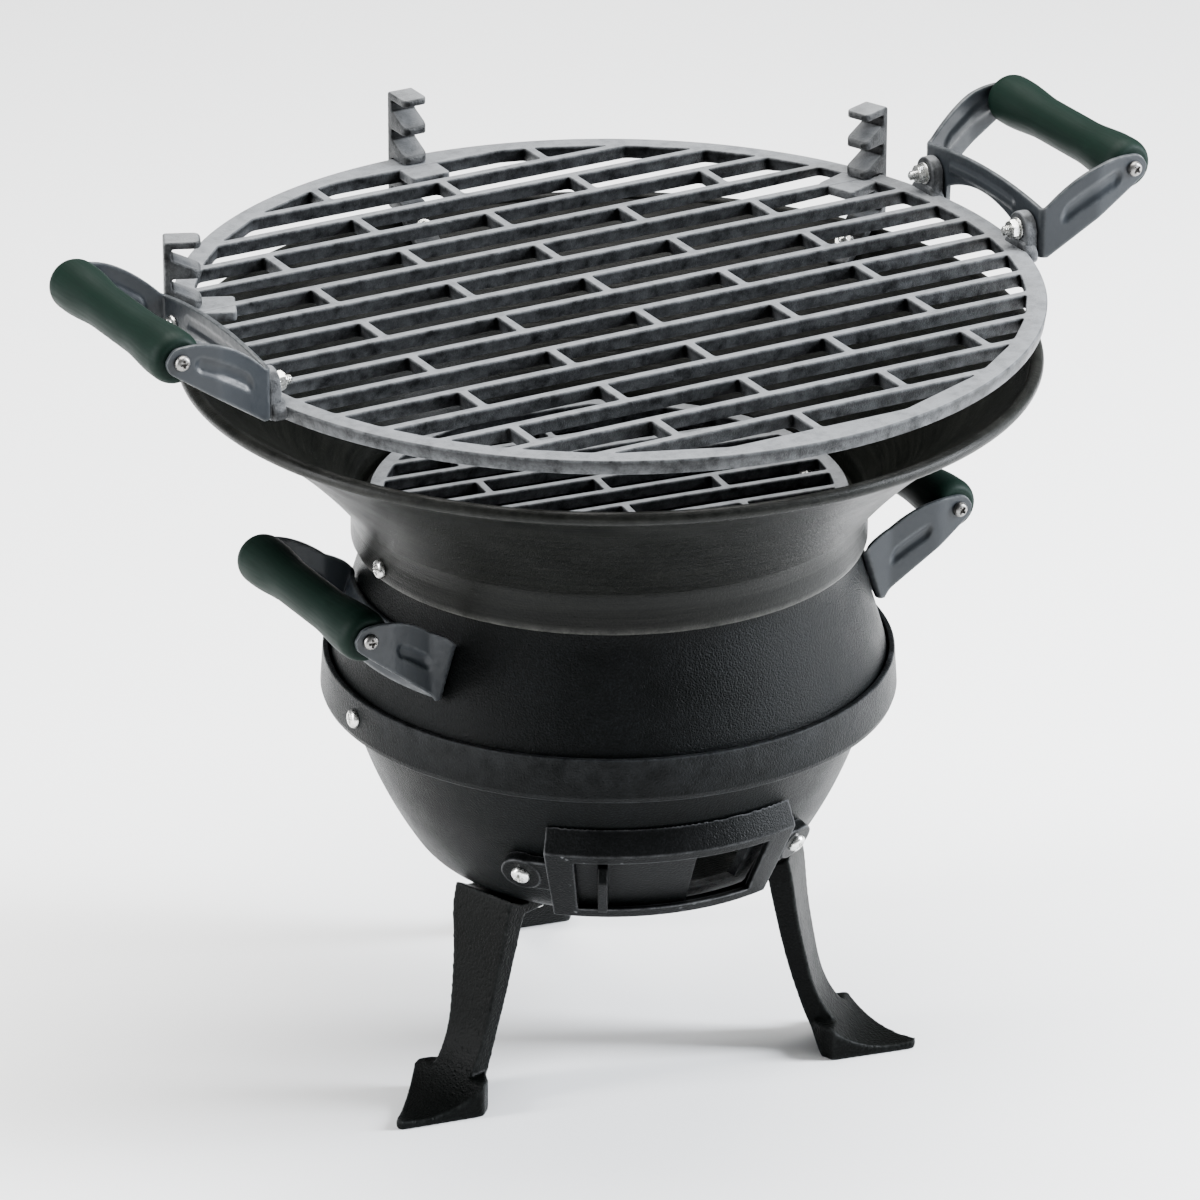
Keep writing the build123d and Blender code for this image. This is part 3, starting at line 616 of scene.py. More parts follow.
upper_bracket = grate_bracket()
put("grate_bracket_right_pressing", upper_bracket, "grate_bracket_right")
put("grate_bracket_left_pressing", turn_z(upper_bracket, 180), "grate_bracket_left")

# %% Lower brackets
def pot_bracket():
    """Web that lies on the barrel's cone: its path is an arc, and the sheet leans by the
    cone's slope, in radius for each mm of height, which dies away along the arms."""
    r_mid = 106.754 + 1.0
    corner = sqrt(r_mid**2 - 44**2)
    a = np.linspace(-atan2(44, corner), atan2(44, corner), 41)
    arc = r_mid * np.stack([np.cos(a), np.sin(a)], 1)
    x_end = POT_GRIP[0] + 6.0
    arms = [(x_end, -49), (127, -49), (107, -44)]
    path = np.concatenate([
        rounded(arms + [arc[0], arc[2]], [0, 20, 12, 2, 0], 8, closed=False), arc[3:-3],
        rounded([arc[-3], arc[-1]] + [(x, -y) for x, y in arms[::-1]], [0, 2, 12, 20, 0], 8, closed=False)])
    path = even(path, 0.5, closed=False)
    x, y = path[:, 0], path[:, 1]
    low, high = arm_edges(x, *POT_ARM, POT_GRIP)
    web = np.abs(y) < 43.2
    low = np.where(web, 187.5, low)
    high = eased(np.where(web, 207.5, high), 16)

    def bulge(p, share, z):
        lo, hi = arm_edges(p[..., 0], *POT_ARM, POT_GRIP)
        rib = stadium(p[..., 0] - 115.5, z - (lo + hi) / 2 + 0.5, 5.5, 2.9)
        return 1.1 * rib * (np.abs(p[..., 1]) > 43.5)

    def lean(p, z):
        beside = np.abs(p[..., 1]) > 43.2
        fade = np.where(beside, np.clip((107 - p[..., 0]) / 8, 0, 1), 1.0)
        slant = np.sqrt(1 + (p[..., 1] / 98.0) ** 2)
        dx = -BARREL_SLOPE * (z - 197.5) * slant * fade
        return np.stack([dx, 0 * dx], -1)

    return pressed_sheet(path, low, high, bulge, lean)


lower_bracket = pot_bracket()
put("pot_bracket_right_pressing", lower_bracket, "pot_bracket_right")
put("pot_bracket_left_pressing", turn_z(lower_bracket, 180), "pot_bracket_left")

# %% [markdown]
# The grips are turned from wood and painted. They are narrow where the fingers close and swell
# towards both ends, where the arms hold them. One outline is carried round the grip's own axis.

# %% Grips
def grip():
    """Turned outline along Y: radius 9 in the middle, rising by a smooth step to 10.6, then a
    quarter of an ellipse at each end down to a flat face."""
    half = 47.8
    y = np.r_[np.linspace(0, half - 6, 40), half - 6 + 6 * np.sin(np.linspace(0, pi / 2, 14))[1:]]
    s = np.clip((y - 14) / 24, 0, 1)
    r = 9.0 + 1.6 * s * s * (3 - 2 * s)
    r -= 3.4 * (1 - np.sqrt(np.clip(1 - (np.maximum(y - half + 6, 0) / 6) ** 2, 0, 1)))
    y, r = np.r_[-y[::-1], y[1:]], np.r_[r[::-1], r[1:]]
    y, r = np.r_[-half, y, half], np.r_[0.0, r, 0.0]
    a = np.linspace(0, 2 * pi, 96, endpoint=False)[:, None]
    p = np.stack([r * np.cos(a), y + 0 * a, r * np.sin(a)], -1)
    return p.reshape(-1, 3), grid_faces(96, len(y), wrap_rows=True).tolist()


grip_shape = grip()
for kind, (x, z) in (("grate", GRATE_GRIP), ("pot", POT_GRIP)):
    for side, sign in (("right", 1), ("left", -1)):
        moved = grip_shape[0] + [sign * x, 0, z], grip_shape[1]
        put(f"{kind}_grip_{side}_turning", moved, f"{kind}_grip_{side}")

# %% [markdown]
# ## Screws, nuts and washers
# Small bright fasteners catch the eye on a black grill, so they are made in full: a domed head
# with a cross recess, a shank with a screw thread, nuts with the corners turned off and washers.
# A screw is one grid. Its rows run from the top of the head to the tip of the shank.

# %% Screw
NUT_H, WASHER_H = 3.2, 0.8


def screw(length, r=2.0, head_r=4.0, head_h=2.4, pitch=0.8, cols=56):
    """Height of the head is h (1 - s^3.6)^(1/2.3) at share s of its radius, less the recess:
    two crossed slots whose floor rises to nothing at their ends. Radius of the shank is
    r - 0.32 (1 + cos(2 pi (z / pitch + turn))) / 2, which winds the grooves round it."""
    a = np.linspace(0, 2 * pi, cols, endpoint=False)[None]
    s = np.r_[0, np.linspace(0.06, 0.9, 18), 0.94, 0.97, 0.99, 1.0][:, None]
    x, y = s * head_r * np.cos(a), s * head_r * np.sin(a)
    z = head_h * (1 - 0.999 * s**3.6) ** (1 / 2.3) + 0 * a

    def slot(u, v):
        return np.clip((0.62 - np.abs(u)) / 0.25, 0, 1) * np.clip(1 - (np.abs(v) / (0.6 * head_r)) ** 2, 0, 1)

    z = z - 0.62 * head_h * np.maximum(slot(x, y), slot(y, x))
    head = np.stack([x, y, z], -1)
    depth = np.r_[0.0, 0.0, np.arange(0.1, length - 0.5, pitch / 5), length - 0.3, length][:, None]
    core = np.r_[head_r * 0.985, r, np.full(len(depth) - 4, r), r - 0.55, r - 0.9][:, None]
    groove = 0.32 * (1 + np.cos(2 * pi * depth / pitch + a)) / 2
    inside = (np.arange(len(depth)) > 3)[:, None] & (np.arange(len(depth)) < len(depth) - 2)[:, None]
    rr = core - groove * inside
    shank = np.stack([rr * np.cos(a), rr * np.sin(a), -depth + 0 * a], -1)
    tip = np.stack([0 * a, 0 * a, -length + 0 * a], -1)
    p = np.concatenate([head, shank, tip])
    return p.reshape(-1, 3), grid_faces(len(p), cols, wrap_cols=True).tolist()


def nut(flats=7.0, height=NUT_H, bore=2.02, cols=72):
    """Six flats: the radius at angle a is half the width over the cosine of the angle from the
    nearest flat's middle, but never more than a cone that turns the corners off at both faces."""
    a = np.linspace(0, 2 * pi, cols, endpoint=False)[None]
    six = flats / 2 / np.cos((a + pi / 6) % (pi / 3) - pi / 6)
    z = np.array([0, 0, 0.12, 0.3, 0.6, 0.9])
    z = np.r_[z, height - z[::-1]]
    end = np.minimum(z, height - z)[:, None]
    r = np.minimum(six, flats / 2 - 0.1 + 1.5 * end)
    r = np.where(np.isin(np.arange(12), (0, 11))[:, None], bore, r)
    p = np.stack([r * np.cos(a), r * np.sin(a), z[:, None] + 0 * a], -1)
    return p.reshape(-1, 3), grid_faces(12, cols, True, True).tolist()


washer = turned(rounded([(2.2, 0), (4.6, 0), (4.6, WASHER_H), (2.2, WASHER_H)], 0.2, 4), 48)


# %% [markdown]
# Each fastener stands on a plane: a point on the wall and the direction it faces. The same few
# numbers as in the engineering model give those planes, so heads and nuts sit on the castings.

# %% Where the fasteners are
def wall_plane(angle, r, z, tilt=0.0, lift=0.0):
    """Point at radius r and height z, and the normal that faces outwards at the angle, tilted
    up by tilt degrees. The point is moved along the normal by lift."""
    a, t = radians(angle), radians(tilt)
    normal = np.array([cos(a) * cos(t), sin(a) * cos(t), sin(t)])
    return np.array([r * cos(a), r * sin(a), z]) + lift * normal, normal


def group(name, node, shape, planes, drop=0.0, turn=0.0):
    """The same small piece on every plane, as one node of separate solids."""
    copies = []
    for i, (origin, normal) in enumerate(planes):
        spun = turn_z(shape, turn + 23 * i)
        copies.append(aim(spun, origin - drop * normal, normal))
    return put(name, together(*copies), node, sharp=30.0)


VENT_ANGLE = 255.7
LEGS = {"leg_front_left": 199.8, "leg_front_right": 319.8, "leg_rear": 79.8}
band = [wall_plane(a, 117.6, 165.0, 3.5) for a in (0, 180)]
collar = [wall_plane(a, 105.1, 228.0) for a in (0, 180)]
vent = [wall_plane(VENT_ANGLE + a, 91.9, 113.5, -25.0) for a in (-36.5, 36.5)]
pot_bolts = [wall_plane(a + s, 106.754, 197.5, 17.1, 2.1) for a in (0, 180) for s in (-16, 16)]
ear_bolts = [(np.array([s * 177.5, y, 334.5]), np.array([s, 0.0, 0.0])) for s in (-1, 1) for y in (-36, 36)]
run_at = int(round(0.86 * (len(flare) - 1)))
slope = unit(flare[run_at + 1] - flare[run_at - 1])
tilt = degrees(atan2(slope[1], slope[0])) - 90
rack = [wall_plane(a, *flare[run_at], tilt, WALL / 2 + 0.1) for a in SUPPORTS.values()]
leg_bolts = []
for a in LEGS.values():
    c, s = cos(radians(a)), sin(radians(a))
    for side in (-7, 7):
        leg_bolts.append((np.array([54 * c + side * s, 54 * s - side * c, 87.6]), np.array([0.0, 0.0, 1.0])))


def grip_planes(x, z):
    """Outer faces of the arms at both ends of the left and the right grip."""
    return [(np.array([s * x, e * 50.1, z]), np.array([0.0, e, 0.0])) for s in (-1, 1) for e in (-1, 1)]


group("band_screws_zinc", "band_screws", screw(13.5), band)
group("band_nuts_zinc", "band_nuts", nut(), band, 8.3 + NUT_H)
group("collar_screws_zinc", "collar_screws", screw(15), collar)
group("collar_nuts_zinc", "collar_nuts", nut(), collar, 10.2 + NUT_H)
vent_heads = [(o + 5.4 * n, n) for o, n in vent]
group("vent_screws_zinc", "vent_screws", screw(14.6), vent_heads)
group("vent_nuts_zinc", "vent_nuts", nut(), vent, 4.5 + NUT_H)
group("leg_bolts_zinc", "leg_bolts", screw(13.1), leg_bolts)
group("leg_nuts_zinc", "leg_nuts", nut(), leg_bolts, 8.45 + NUT_H)
group("support_screws_zinc", "support_screws", screw(13.0), rack)
group("support_nuts_zinc", "support_nuts", nut(), rack, 8.1 + NUT_H)
group("grate_bracket_bolts_zinc", "grate_bracket_bolts", screw(15.0), ear_bolts)
group("grate_bracket_washers_zinc", "grate_bracket_washers", washer, ear_bolts, 8.35)
group("grate_bracket_nuts_zinc", "grate_bracket_nuts", nut(), ear_bolts, 8.4 + NUT_H, 12)
group("pot_bracket_bolts_zinc", "pot_bracket_bolts", screw(13.1), pot_bolts)
group("pot_bracket_washers_zinc", "pot_bracket_washers", washer, pot_bolts, 7.8)
group("pot_bracket_nuts_zinc", "pot_bracket_nuts", nut(), pot_bolts, 7.9 + NUT_H)
small = screw(18, 1.8, 3.2)
group("grate_grip_screws_steel", "grate_grip_screws", small, grip_planes(*GRATE_GRIP))
group("pot_grip_screws_steel", "pot_grip_screws", small, grip_planes(*POT_GRIP))

# %% [markdown]
# ## Legs and air vent
# These castings have no simple outline: a curved shank runs into a flange and a pointed foot,
# and the vent is a hood with screw lugs. Their engineering solids already have the right form
# but knife-sharp edges, which no casting has. A copy is wrapped in a fine skin of even cells and
# the skin is smoothed a little, so every edge and inner corner gets the soft radius of sand.

# %% Castings from their solids
def skinned(name, node, cell, rounds):
    """Copy of a node's solid, wrapped by a voxel remesh with cells of that size in mm and
    smoothed: every round moves each point halfway to the mean of its neighbours."""
    mesh = frame["nodes"][node].data.copy()
    mesh.name = name
    bm = bmesh.new()
    bm.from_mesh(mesh)
    bmesh.ops.remove_doubles(bm, verts=bm.verts, dist=1e-6)
    bm.to_mesh(mesh)
    bm.free()
    piece = bpy.data.objects.new(name, mesh)
    bpy.context.scene.collection.objects.link(piece)
    skin = piece.modifiers.new("skin", "REMESH")
    skin.mode = "VOXEL"
    skin.voxel_size = cell * MM
    smooth = piece.modifiers.new("soft edges", "SMOOTH")
    smooth.factor, smooth.iterations = 0.5, rounds
    done = bpy.data.meshes.new_from_object(piece.evaluated_get(bpy.context.evaluated_depsgraph_get()))
    piece.modifiers.clear()
    piece.data = done
    done.name = name
    done.materials.clear()
    done.polygons.foreach_set("use_smooth", np.ones(len(done.polygons), bool))
    return adopt(piece, node)


for leg in LEGS:
    skinned(f"{leg}_casting", leg, 0.65, 10)
skinned("vent_frame_casting", "vent_frame", 0.45, 4)
skinned("vent_damper_casting", "vent_damper", 0.4, 8)

# %% [markdown]
# ## Finishes
# Three effects are shared, so each is a node group: the grain that sand leaves in iron, the pale
# bare metal where paint has rubbed off edges together with a painted highlight of the same pale
# colour on top faces, and the fine lines of a part that has been turned. Every material places
# them with its own values.

# %% Node helpers
def add(tree, kind, values=None, **settings):
    """New node with its settings and the values of its unlinked sockets."""
    node = tree.nodes.new(kind)
    for key, value in settings.items():
        setattr(node, key, value)
    for key, value in (values or {}).items():
        node.inputs[key].default_value = value
    return node


def math(tree, operation, a, b=None, clamp=False):
    """Output of a math node whose inputs are numbers or other outputs."""
    node = add(tree, "ShaderNodeMath", operation=operation, use_clamp=clamp)
    for i, v in enumerate((a, b)):
        if isinstance(v, (int, float)):
            node.inputs[i].default_value = v
        elif v is not None:
            tree.links.new(v, node.inputs[i])
    return node.outputs[0]


def ramp(tree, value, low, high, to_low=0.0, to_high=1.0):
    """Value carried from one range to another and held at its ends."""
    node = add(tree, "ShaderNodeMapRange", {1: low, 2: high, 3: to_low, 4: to_high}, clamp=True)
    tree.links.new(value, node.inputs[0])
    return node.outputs[0]


def blend_colour(tree, factor, a, b):
    """Colour a where the factor is 0 and b where it is 1."""
    node = add(tree, "ShaderNodeMix", data_type="RGBA")
    tree.links.new(factor, node.inputs[0])
    for i, v in ((6, a), (7, b)):
        if isinstance(v, tuple):
            node.inputs[i].default_value = (*v, 1.0)
        else:
            tree.links.new(v, node.inputs[i])
    return node.outputs[2]


def new_group(name, inputs, outputs):
    """Empty node group with named number sockets."""
    tree = bpy.data.node_groups.new(name, "ShaderNodeTree")
    for label, value in inputs.items():
        socket = tree.interface.new_socket(name=label, in_out="INPUT", socket_type="NodeSocketFloat")
        socket.default_value = value
    for label in outputs:
        tree.interface.new_socket(name=label, in_out="OUTPUT", socket_type="NodeSocketFloat")
    return tree, add(tree, "NodeGroupInput"), add(tree, "NodeGroupOutput")


# %% Shared effects
def sand_grain():
    """Height and fleck of a sand casting: fine noise for the grains, wider noise for the way
    the mould was packed, and small round pits."""
    inputs = {"Grains per metre": 900.0, "Pits": 0.3}
    tree, given, out = new_group("sand grain", inputs, ("Height", "Fleck", "Cloud"))
    place = add(tree, "ShaderNodeTexCoord").outputs["Object"]
    fine = add(tree, "ShaderNodeTexNoise", {"Detail": 3.0, "Roughness": 0.6})
    wide = add(tree, "ShaderNodeTexNoise", {"Scale": 38.0, "Detail": 4.0, "Roughness": 0.6})
    pits = add(tree, "ShaderNodeTexVoronoi", {"Randomness": 1.0})
    for node in (fine, wide, pits):
        tree.links.new(place, node.inputs["Vector"])
    tree.links.new(given.outputs[0], fine.inputs["Scale"])
    tree.links.new(math(tree, "MULTIPLY", given.outputs[0], 0.55), pits.inputs["Scale"])
    hole = math(tree, "MULTIPLY", ramp(tree, pits.outputs["Distance"], 0.35, 0.05), given.outputs[1])
    tree.links.new(math(tree, "SUBTRACT", fine.outputs["Fac"], hole), out.inputs[0])
    tree.links.new(ramp(tree, fine.outputs["Fac"], 0.42, 0.66), out.inputs[1])
    tree.links.new(ramp(tree, wide.outputs["Fac"], 0.3, 0.7), out.inputs[2])
    return tree


def wear_and_highlight_group():
    """Masks of bare metal on worn edges and of a painted highlight on top faces, in the same pale colour.
    Edges come from pointiness, top faces from how far the surface faces up, and both are broken up by a
    patchy noise."""
    inputs = {"Edges": 0.5, "Tops": 0.0, "Patches per metre": 150.0}
    tree, given, out = new_group("rubbed metal", inputs, ("Edge", "Top"))
    shape = add(tree, "ShaderNodeNewGeometry")
    place = add(tree, "ShaderNodeTexCoord").outputs["Object"]
    patch = add(tree, "ShaderNodeTexNoise", {"Detail": 5.0, "Roughness": 0.7})
    tree.links.new(place, patch.inputs["Vector"])
    tree.links.new(given.outputs[2], patch.inputs["Scale"])
    broken = ramp(tree, patch.outputs["Fac"], 0.3, 0.62)
    edge = ramp(tree, shape.outputs["Pointiness"], 0.505, 0.56)
    chipped = math(tree, "MULTIPLY", edge, broken)
    tree.links.new(math(tree, "MULTIPLY", chipped, given.outputs[0], True), out.inputs[0])
    split = add(tree, "ShaderNodeSeparateXYZ")
    tree.links.new(shape.outputs["Normal"], split.inputs[0])
    # Top faces: a painted highlight, paler the more the surface faces up, as if lit from above.
    up = ramp(tree, split.outputs[2], 0.75, 0.97)
    wear_and_highlight = ramp(tree, patch.outputs["Fac"], 0.25, 0.55, 0.55, 1.0)
    top_highlight = math(tree, "MULTIPLY", up, wear_and_highlight)
    tree.links.new(math(tree, "MULTIPLY", top_highlight, given.outputs[1], True), out.inputs[1])
    return tree


def turning_lines():
    """Streaks round Z: noise read at (x / r, y / r, z) is drawn out along the circle, because
    the first two change slowly and z is multiplied by many lines per metre."""
    tree, given, out = new_group("turning lines", {"Lines per metre": 700.0, "Length": 2.2}, ("Streak",))
    place = add(tree, "ShaderNodeTexCoord").outputs["Object"]
    split = add(tree, "ShaderNodeSeparateXYZ")
    tree.links.new(place, split.inputs[0])
    x, y, z = split.outputs
    r = math(tree, "SQRT", math(tree, "ADD", math(tree, "MULTIPLY", x, x), math(tree, "MULTIPLY", y, y)))
    joined = add(tree, "ShaderNodeCombineXYZ")
    for i, axis in enumerate((x, y)):
        share = math(tree, "DIVIDE", axis, r)
        tree.links.new(math(tree, "MULTIPLY", share, given.outputs[1]), joined.inputs[i])
    tree.links.new(math(tree, "MULTIPLY", z, given.outputs[0]), joined.inputs[2])
    streak = add(tree, "ShaderNodeTexNoise", {"Scale": 1.0, "Detail": 5.0, "Roughness": 0.65})
    tree.links.new(joined.outputs[0], streak.inputs["Vector"])
    tree.links.new(streak.outputs["Fac"], out.inputs[0])
    return tree


GRAIN, WEAR_AND_HIGHLIGHT, LINES = sand_grain(), wear_and_highlight_group(), turning_lines()


# %% Material makers
def material(name, metallic=0.0, coat=0.0, coat_rough=0.3):
    """Empty material with one Principled shader; plain numbers go straight on its sockets."""
    mat = bpy.data.materials.new(name)
    mat.use_nodes = True
    tree = mat.node_tree
    shader = tree.nodes["Principled BSDF"]
    shader.inputs["Metallic"].default_value = metallic
    shader.inputs["Coat Weight"].default_value = coat
    shader.inputs["Coat Roughness"].default_value = coat_rough
    return mat, tree, shader


def use(tree, group_tree, **values):
    """One of the shared effects placed in a material with that material's own values."""
    node = add(tree, "ShaderNodeGroup", node_tree=group_tree)
    for key, value in values.items():
        node.inputs[key.replace("_", " ")].default_value = value
    return node


def bump(tree, shader, height, strength, distance):
    """Surface relief from a height, with its depth in metres."""
    node = add(tree, "ShaderNodeBump", {"Strength": strength, "Distance": distance})
    tree.links.new(height, node.inputs["Height"])
    tree.links.new(node.outputs[0], shader.inputs["Normal"])


def iron(name, dark, light, bare_and_highlight, rough, edges=0.5, tops=0.0, grain=900.0, depth=0.0002,
         lines=0.0, specular=0.5):
    """Painted or seasoned cast iron: two near blacks mixed by the grain, bare metal where edges are rubbed, a
    painted highlight of the same pale colour on faces that point up (tops), and a roughness that follows the
    same masks."""
    mat, tree, shader = material(name)
    shader.inputs["Specular IOR Level"].default_value = specular
    sand = use(tree, GRAIN, Grains_per_metre=grain)
    wear_and_highlight = use(tree, WEAR_AND_HIGHLIGHT, Edges=edges, Tops=tops)
    grains = math(tree, "MULTIPLY", sand.outputs["Fleck"], sand.outputs["Cloud"])
    colour = blend_colour(tree, grains, dark, light)
    height = sand.outputs["Height"]
    if lines:
        streak = use(tree, LINES)
        pale = ramp(tree, streak.outputs[0], 0.42, 0.7, 0.0, lines)
        colour = blend_colour(tree, pale, colour, tuple(1.9 * c for c in light))
        height = math(tree, "ADD", height, math(tree, "MULTIPLY", streak.outputs[0], 1.5))
    # Pale on worn edges and, where tops is set, a painted highlight on faces that point up.
    mask = math(tree, "MAXIMUM", wear_and_highlight.outputs["Edge"], wear_and_highlight.outputs["Top"])
    colour = blend_colour(tree, mask, colour, bare_and_highlight)
    tree.links.new(colour, shader.inputs["Base Color"])
    smoother_where_pale = math(tree, "MULTIPLY", mask, -0.08)
    uneven = ramp(tree, sand.outputs["Cloud"], 0, 1, rough - 0.07, rough + 0.07)
    tree.links.new(math(tree, "ADD", uneven, smoother_where_pale), shader.inputs["Roughness"])
    bump(tree, shader, height, 1.0, depth)
    return mat


# %% The grill's finishes
pot_iron = iron("pot iron", (0.0006, 0.0010, 0.0009), (0.0046, 0.0056, 0.0063), (0.075, 0.078, 0.082), 0.38,
                edges=0.5, grain=1250, depth=0.00040, specular=0.06)
bowl_iron = iron("bowl iron", (0.0010, 0.0013, 0.0010), (0.0055, 0.0058, 0.0048), (0.068, 0.068, 0.062), 0.37,
                 edges=0.55, grain=1100, depth=0.00016, lines=0.4, specular=0.09)
# The grate and the rack get tops=0.9: a painted highlight on their upward faces.
grate_iron = iron("grate iron", (0.0010, 0.0013, 0.0016), (0.0042, 0.0050, 0.0060),
                  (0.175, 0.182, 0.19), 0.46, edges=0.85, tops=0.9, grain=1500, depth=0.00026, specular=0.12)
rack_iron = iron("rack iron", (0.0010, 0.0013, 0.0014), (0.0066, 0.0074, 0.0078), (0.165, 0.17, 0.174), 0.44,
                 edges=0.7, tops=0.9, grain=1300, depth=0.00040, specular=0.13)
leg_iron = iron("leg iron", (0.0006, 0.0009, 0.0007), (0.0036, 0.0043, 0.0040), (0.045, 0.048, 0.047), 0.40,
                edges=0.45, grain=900, depth=0.00042, specular=0.05)
vent_iron = iron("vent iron", (0.0010, 0.0013, 0.0013), (0.0056, 0.0063, 0.0068), (0.15, 0.154, 0.16), 0.39,
                 edges=0.6, grain=1250, depth=0.00026, specular=0.07)
damper_iron = iron("damper iron", (0.0010, 0.0013, 0.0013), (0.0050, 0.0056, 0.0060),
                   (0.03, 0.03, 0.03), 0.40, edges=0.1, grain=1250, depth=0.00026, specular=0.09)


def bracket_paint():
    """Slate-coloured paint on pressed steel: faint orange peel, a few scuffs, paler edges."""
    mat, tree, shader = material("bracket paint", coat=0.04)
    shader.inputs["Specular IOR Level"].default_value = 0.25
    sand = use(tree, GRAIN, Grains_per_metre=420.0, Pits=0.0)
    wear_and_highlight = use(tree, WEAR_AND_HIGHLIGHT, Edges=0.8, Patches_per_metre=260.0)
    colour = blend_colour(tree, sand.outputs["Cloud"], (0.0085, 0.0108, 0.0135), (0.0145, 0.0175, 0.0208))
    colour = blend_colour(tree, wear_and_highlight.outputs["Edge"], colour, (0.105, 0.112, 0.115))
    tree.links.new(colour, shader.inputs["Base Color"])
    tree.links.new(ramp(tree, sand.outputs["Fleck"], 0, 1, 0.36, 0.5), shader.inputs["Roughness"])
    bump(tree, shader, sand.outputs["Height"], 0.6, 0.00009)
    return mat


def grip_paint():
    """Dark green paint on turned wood: the grain under it shows as long faint ridges along Y."""
    mat, tree, shader = material("grip paint")
    shader.inputs["Specular IOR Level"].default_value = 0.08
    place = add(tree, "ShaderNodeTexCoord").outputs["Object"]
    stretch = add(tree, "ShaderNodeMapping", {"Scale": (900.0, 45.0, 900.0)})
    fibre = add(tree, "ShaderNodeTexNoise", {"Scale": 1.0, "Detail": 4.0})
    tree.links.new(place, stretch.inputs["Vector"])
    tree.links.new(stretch.outputs[0], fibre.inputs["Vector"])
    sand = use(tree, GRAIN, Grains_per_metre=500.0, Pits=0.0)
    colour = blend_colour(tree, sand.outputs["Cloud"], (0.0019, 0.0080, 0.0052), (0.0026, 0.0100, 0.0067))
    ridge = ramp(tree, fibre.outputs["Fac"], 0.35, 0.75, 0.0, 0.5)
    colour = blend_colour(tree, ridge, colour, (0.0017, 0.0062, 0.0042))
    tree.links.new(colour, shader.inputs["Base Color"])
    tree.links.new(ramp(tree, fibre.outputs["Fac"], 0.3, 0.7, 0.5, 0.62), shader.inputs["Roughness"])
    bump(tree, shader, fibre.outputs["Fac"], 0.5, 0.00008)
    return mat


def zinc(name, pale, dull, rough, recess_shade_strength):
    """Zinc plate: bright metal with cloudy dull patches, and painted shade that darkens the recesses."""
    mat, tree, shader = material(name, metallic=1.0)
    sand = use(tree, GRAIN, Grains_per_metre=1600.0, Pits=0.0)
    shape = add(tree, "ShaderNodeNewGeometry")
    # Painted shade: brown-black where the surface is hollow, found by pointiness.
    recess_shade = ramp(tree, shape.outputs["Pointiness"], 0.5, 0.44, 0.0, recess_shade_strength)
    colour = blend_colour(tree, sand.outputs["Cloud"], pale, dull)
    colour = blend_colour(tree, recess_shade, colour, (0.05, 0.045, 0.04))
    tree.links.new(colour, shader.inputs["Base Color"])
    tree.links.new(ramp(tree, sand.outputs["Fleck"], 0, 1, rough, rough + 0.14), shader.inputs["Roughness"])
    bump(tree, shader, sand.outputs["Height"], 0.4, 0.00004)
    return mat


bracket, green = bracket_paint(), grip_paint()
# The last number sets how dark the painted shade in the recesses is.
bright = zinc("zinc plate", (0.80, 0.80, 0.77), (0.60, 0.60, 0.57), 0.22, 0.85)
darkened = zinc("dark steel", (0.30, 0.29, 0.28), (0.16, 0.155, 0.15), 0.34, 0.9)

# %% Which piece has which finish
FINISH = [("bowl", bowl_iron), ("cooking_grate_casting", grate_iron), ("charcoal_grate_casting", grate_iron),
          ("grate_support", rack_iron), ("leg_front", leg_iron), ("leg_rear", leg_iron),
          ("vent_frame", vent_iron), ("vent_damper", damper_iron), ("lower_pot", pot_iron),
          ("upper_pot", pot_iron), ("grip_screws", darkened), ("_zinc", bright), ("pressing", bracket),
          ("turning", green)]
for piece in made:
    finish = next(mat for key, mat in FINISH if key in piece.name)
    piece.data.materials.clear()
    piece.data.materials.append(finish)
print("finished:", len(made), "pieces,", sum(len(p.data.polygons) for p in made), "faces")

# %% [markdown]
# ## Floor, light and camera
# A black object shows mostly what it reflects: here a plain pale floor and a dim room. Large soft
# panels above and to both sides draw the long sheens on the barrel and the flare.

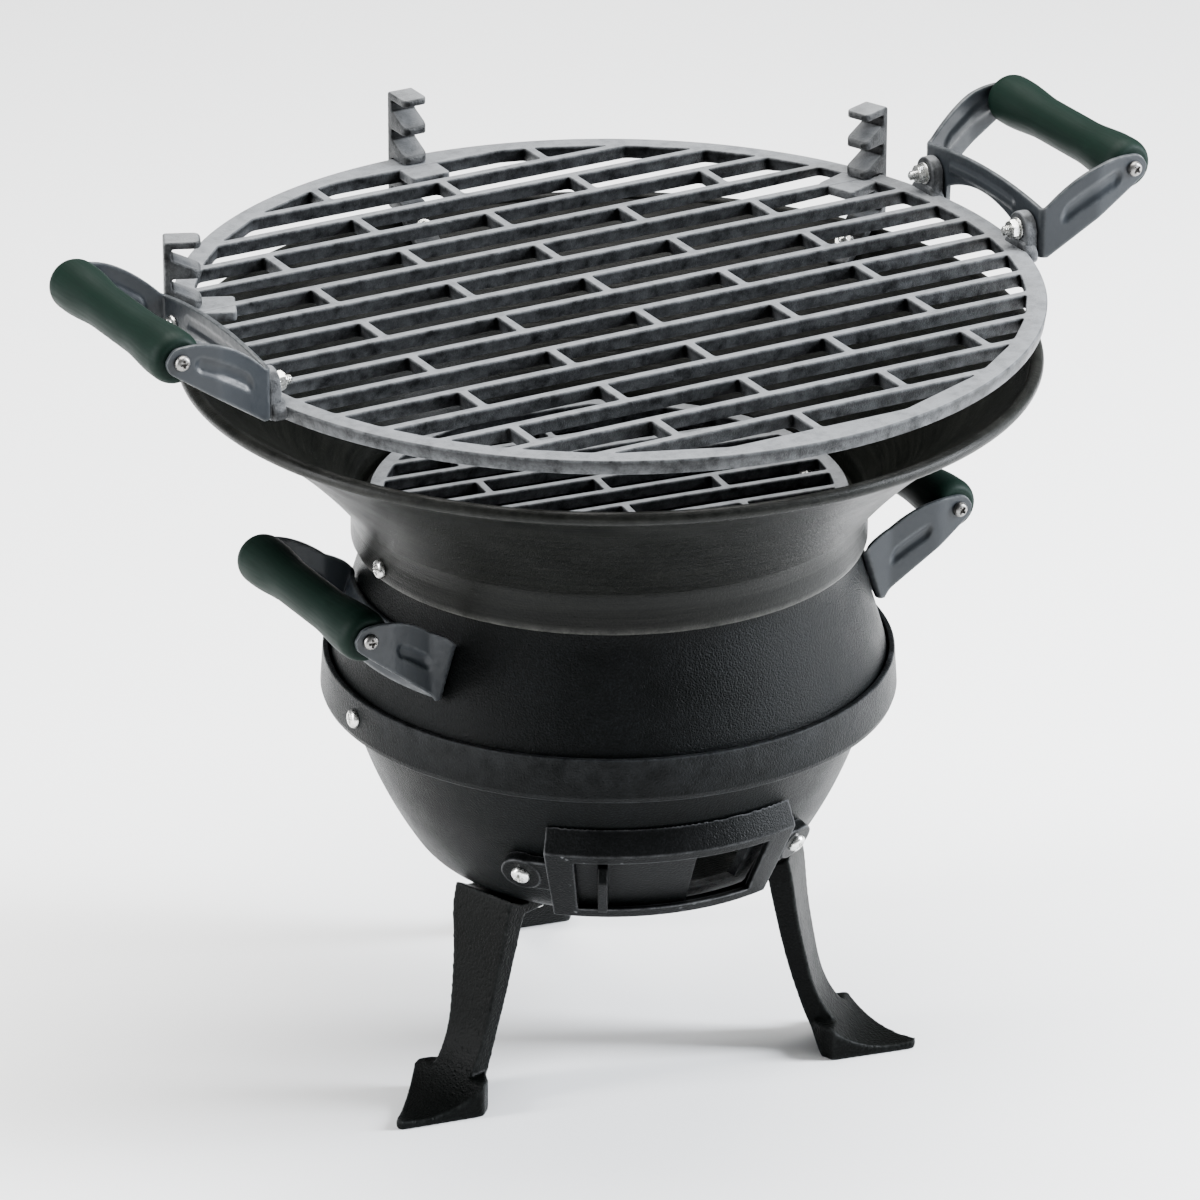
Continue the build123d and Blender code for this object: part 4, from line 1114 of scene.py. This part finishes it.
# %% Floor
floor_mesh = bpy.data.meshes.new("floor")
floor_mesh.from_pydata([(-6, -6, 0), (6, -6, 0), (6, 6, 0), (-6, 6, 0)], [], [(0, 1, 2, 3)])
floor = bpy.data.objects.new("floor", floor_mesh)
bpy.context.scene.collection.objects.link(floor)
pale, _, pale_shader = material("floor paint")
pale_shader.inputs["Base Color"].default_value = (0.93, 0.93, 0.925, 1)
pale_shader.inputs["Roughness"].default_value = 0.9
floor_mesh.materials.append(pale)

# %% Light
world = bpy.data.worlds.new("room")
world.use_nodes = True
world.node_tree.nodes["Background"].inputs["Color"].default_value = (0.96, 0.98, 1.0, 1)
world.node_tree.nodes["Background"].inputs["Strength"].default_value = 0.3
bpy.context.scene.world = world


def panel(name, place, target, size, power, colour=(1, 1, 1)):
    """Soft rectangular light that faces its target."""
    lamp = bpy.data.lights.new(name, "AREA")
    lamp.shape, lamp.size, lamp.size_y = "RECTANGLE", *size
    lamp.energy, lamp.color = power, colour
    obj = bpy.data.objects.new(name, lamp)
    obj.location = place
    obj.rotation_euler = (Vector(target) - Vector(place)).to_track_quat("-Z", "Y").to_euler()
    bpy.context.scene.collection.objects.link(obj)


panel("top panel", (0.2, 0.3, 1.9), (0, 0, 0.2), (1.6, 1.6), 115, (1.0, 0.99, 0.97))
panel("right panel", (1.55, -0.85, 0.95), (0, 0, 0.2), (0.42, 1.4), 170, (0.90, 0.94, 1.0))
panel("left panel", (-1.9, 0.5, 0.8), (0, 0, 0.2), (0.4, 1.4), 75, (0.97, 0.98, 1.0))

# %% Camera
look_at = Vector((0, 0, 0.19175))
AZIMUTH, ELEVATION, DISTANCE, ROLL = -29.7, 23.9, 3.15, 0.255
a, e = radians(AZIMUTH), radians(ELEVATION)
back = Vector((sin(a) * cos(e), -cos(a) * cos(e), sin(e)))
camera_data = bpy.data.cameras.new("camera")
camera_data.sensor_width, camera_data.lens = 36.0, 231.8
camera_data.shift_x = -0.0074
camera = bpy.data.objects.new("camera", camera_data)
turn = back.to_track_quat("Z", "Y").to_matrix().to_4x4() @ Matrix.Rotation(radians(ROLL), 4, "Z")
camera.matrix_world = Matrix.Translation(look_at + DISTANCE * back) @ turn
bpy.context.scene.collection.objects.link(camera)
bpy.context.scene.camera = camera
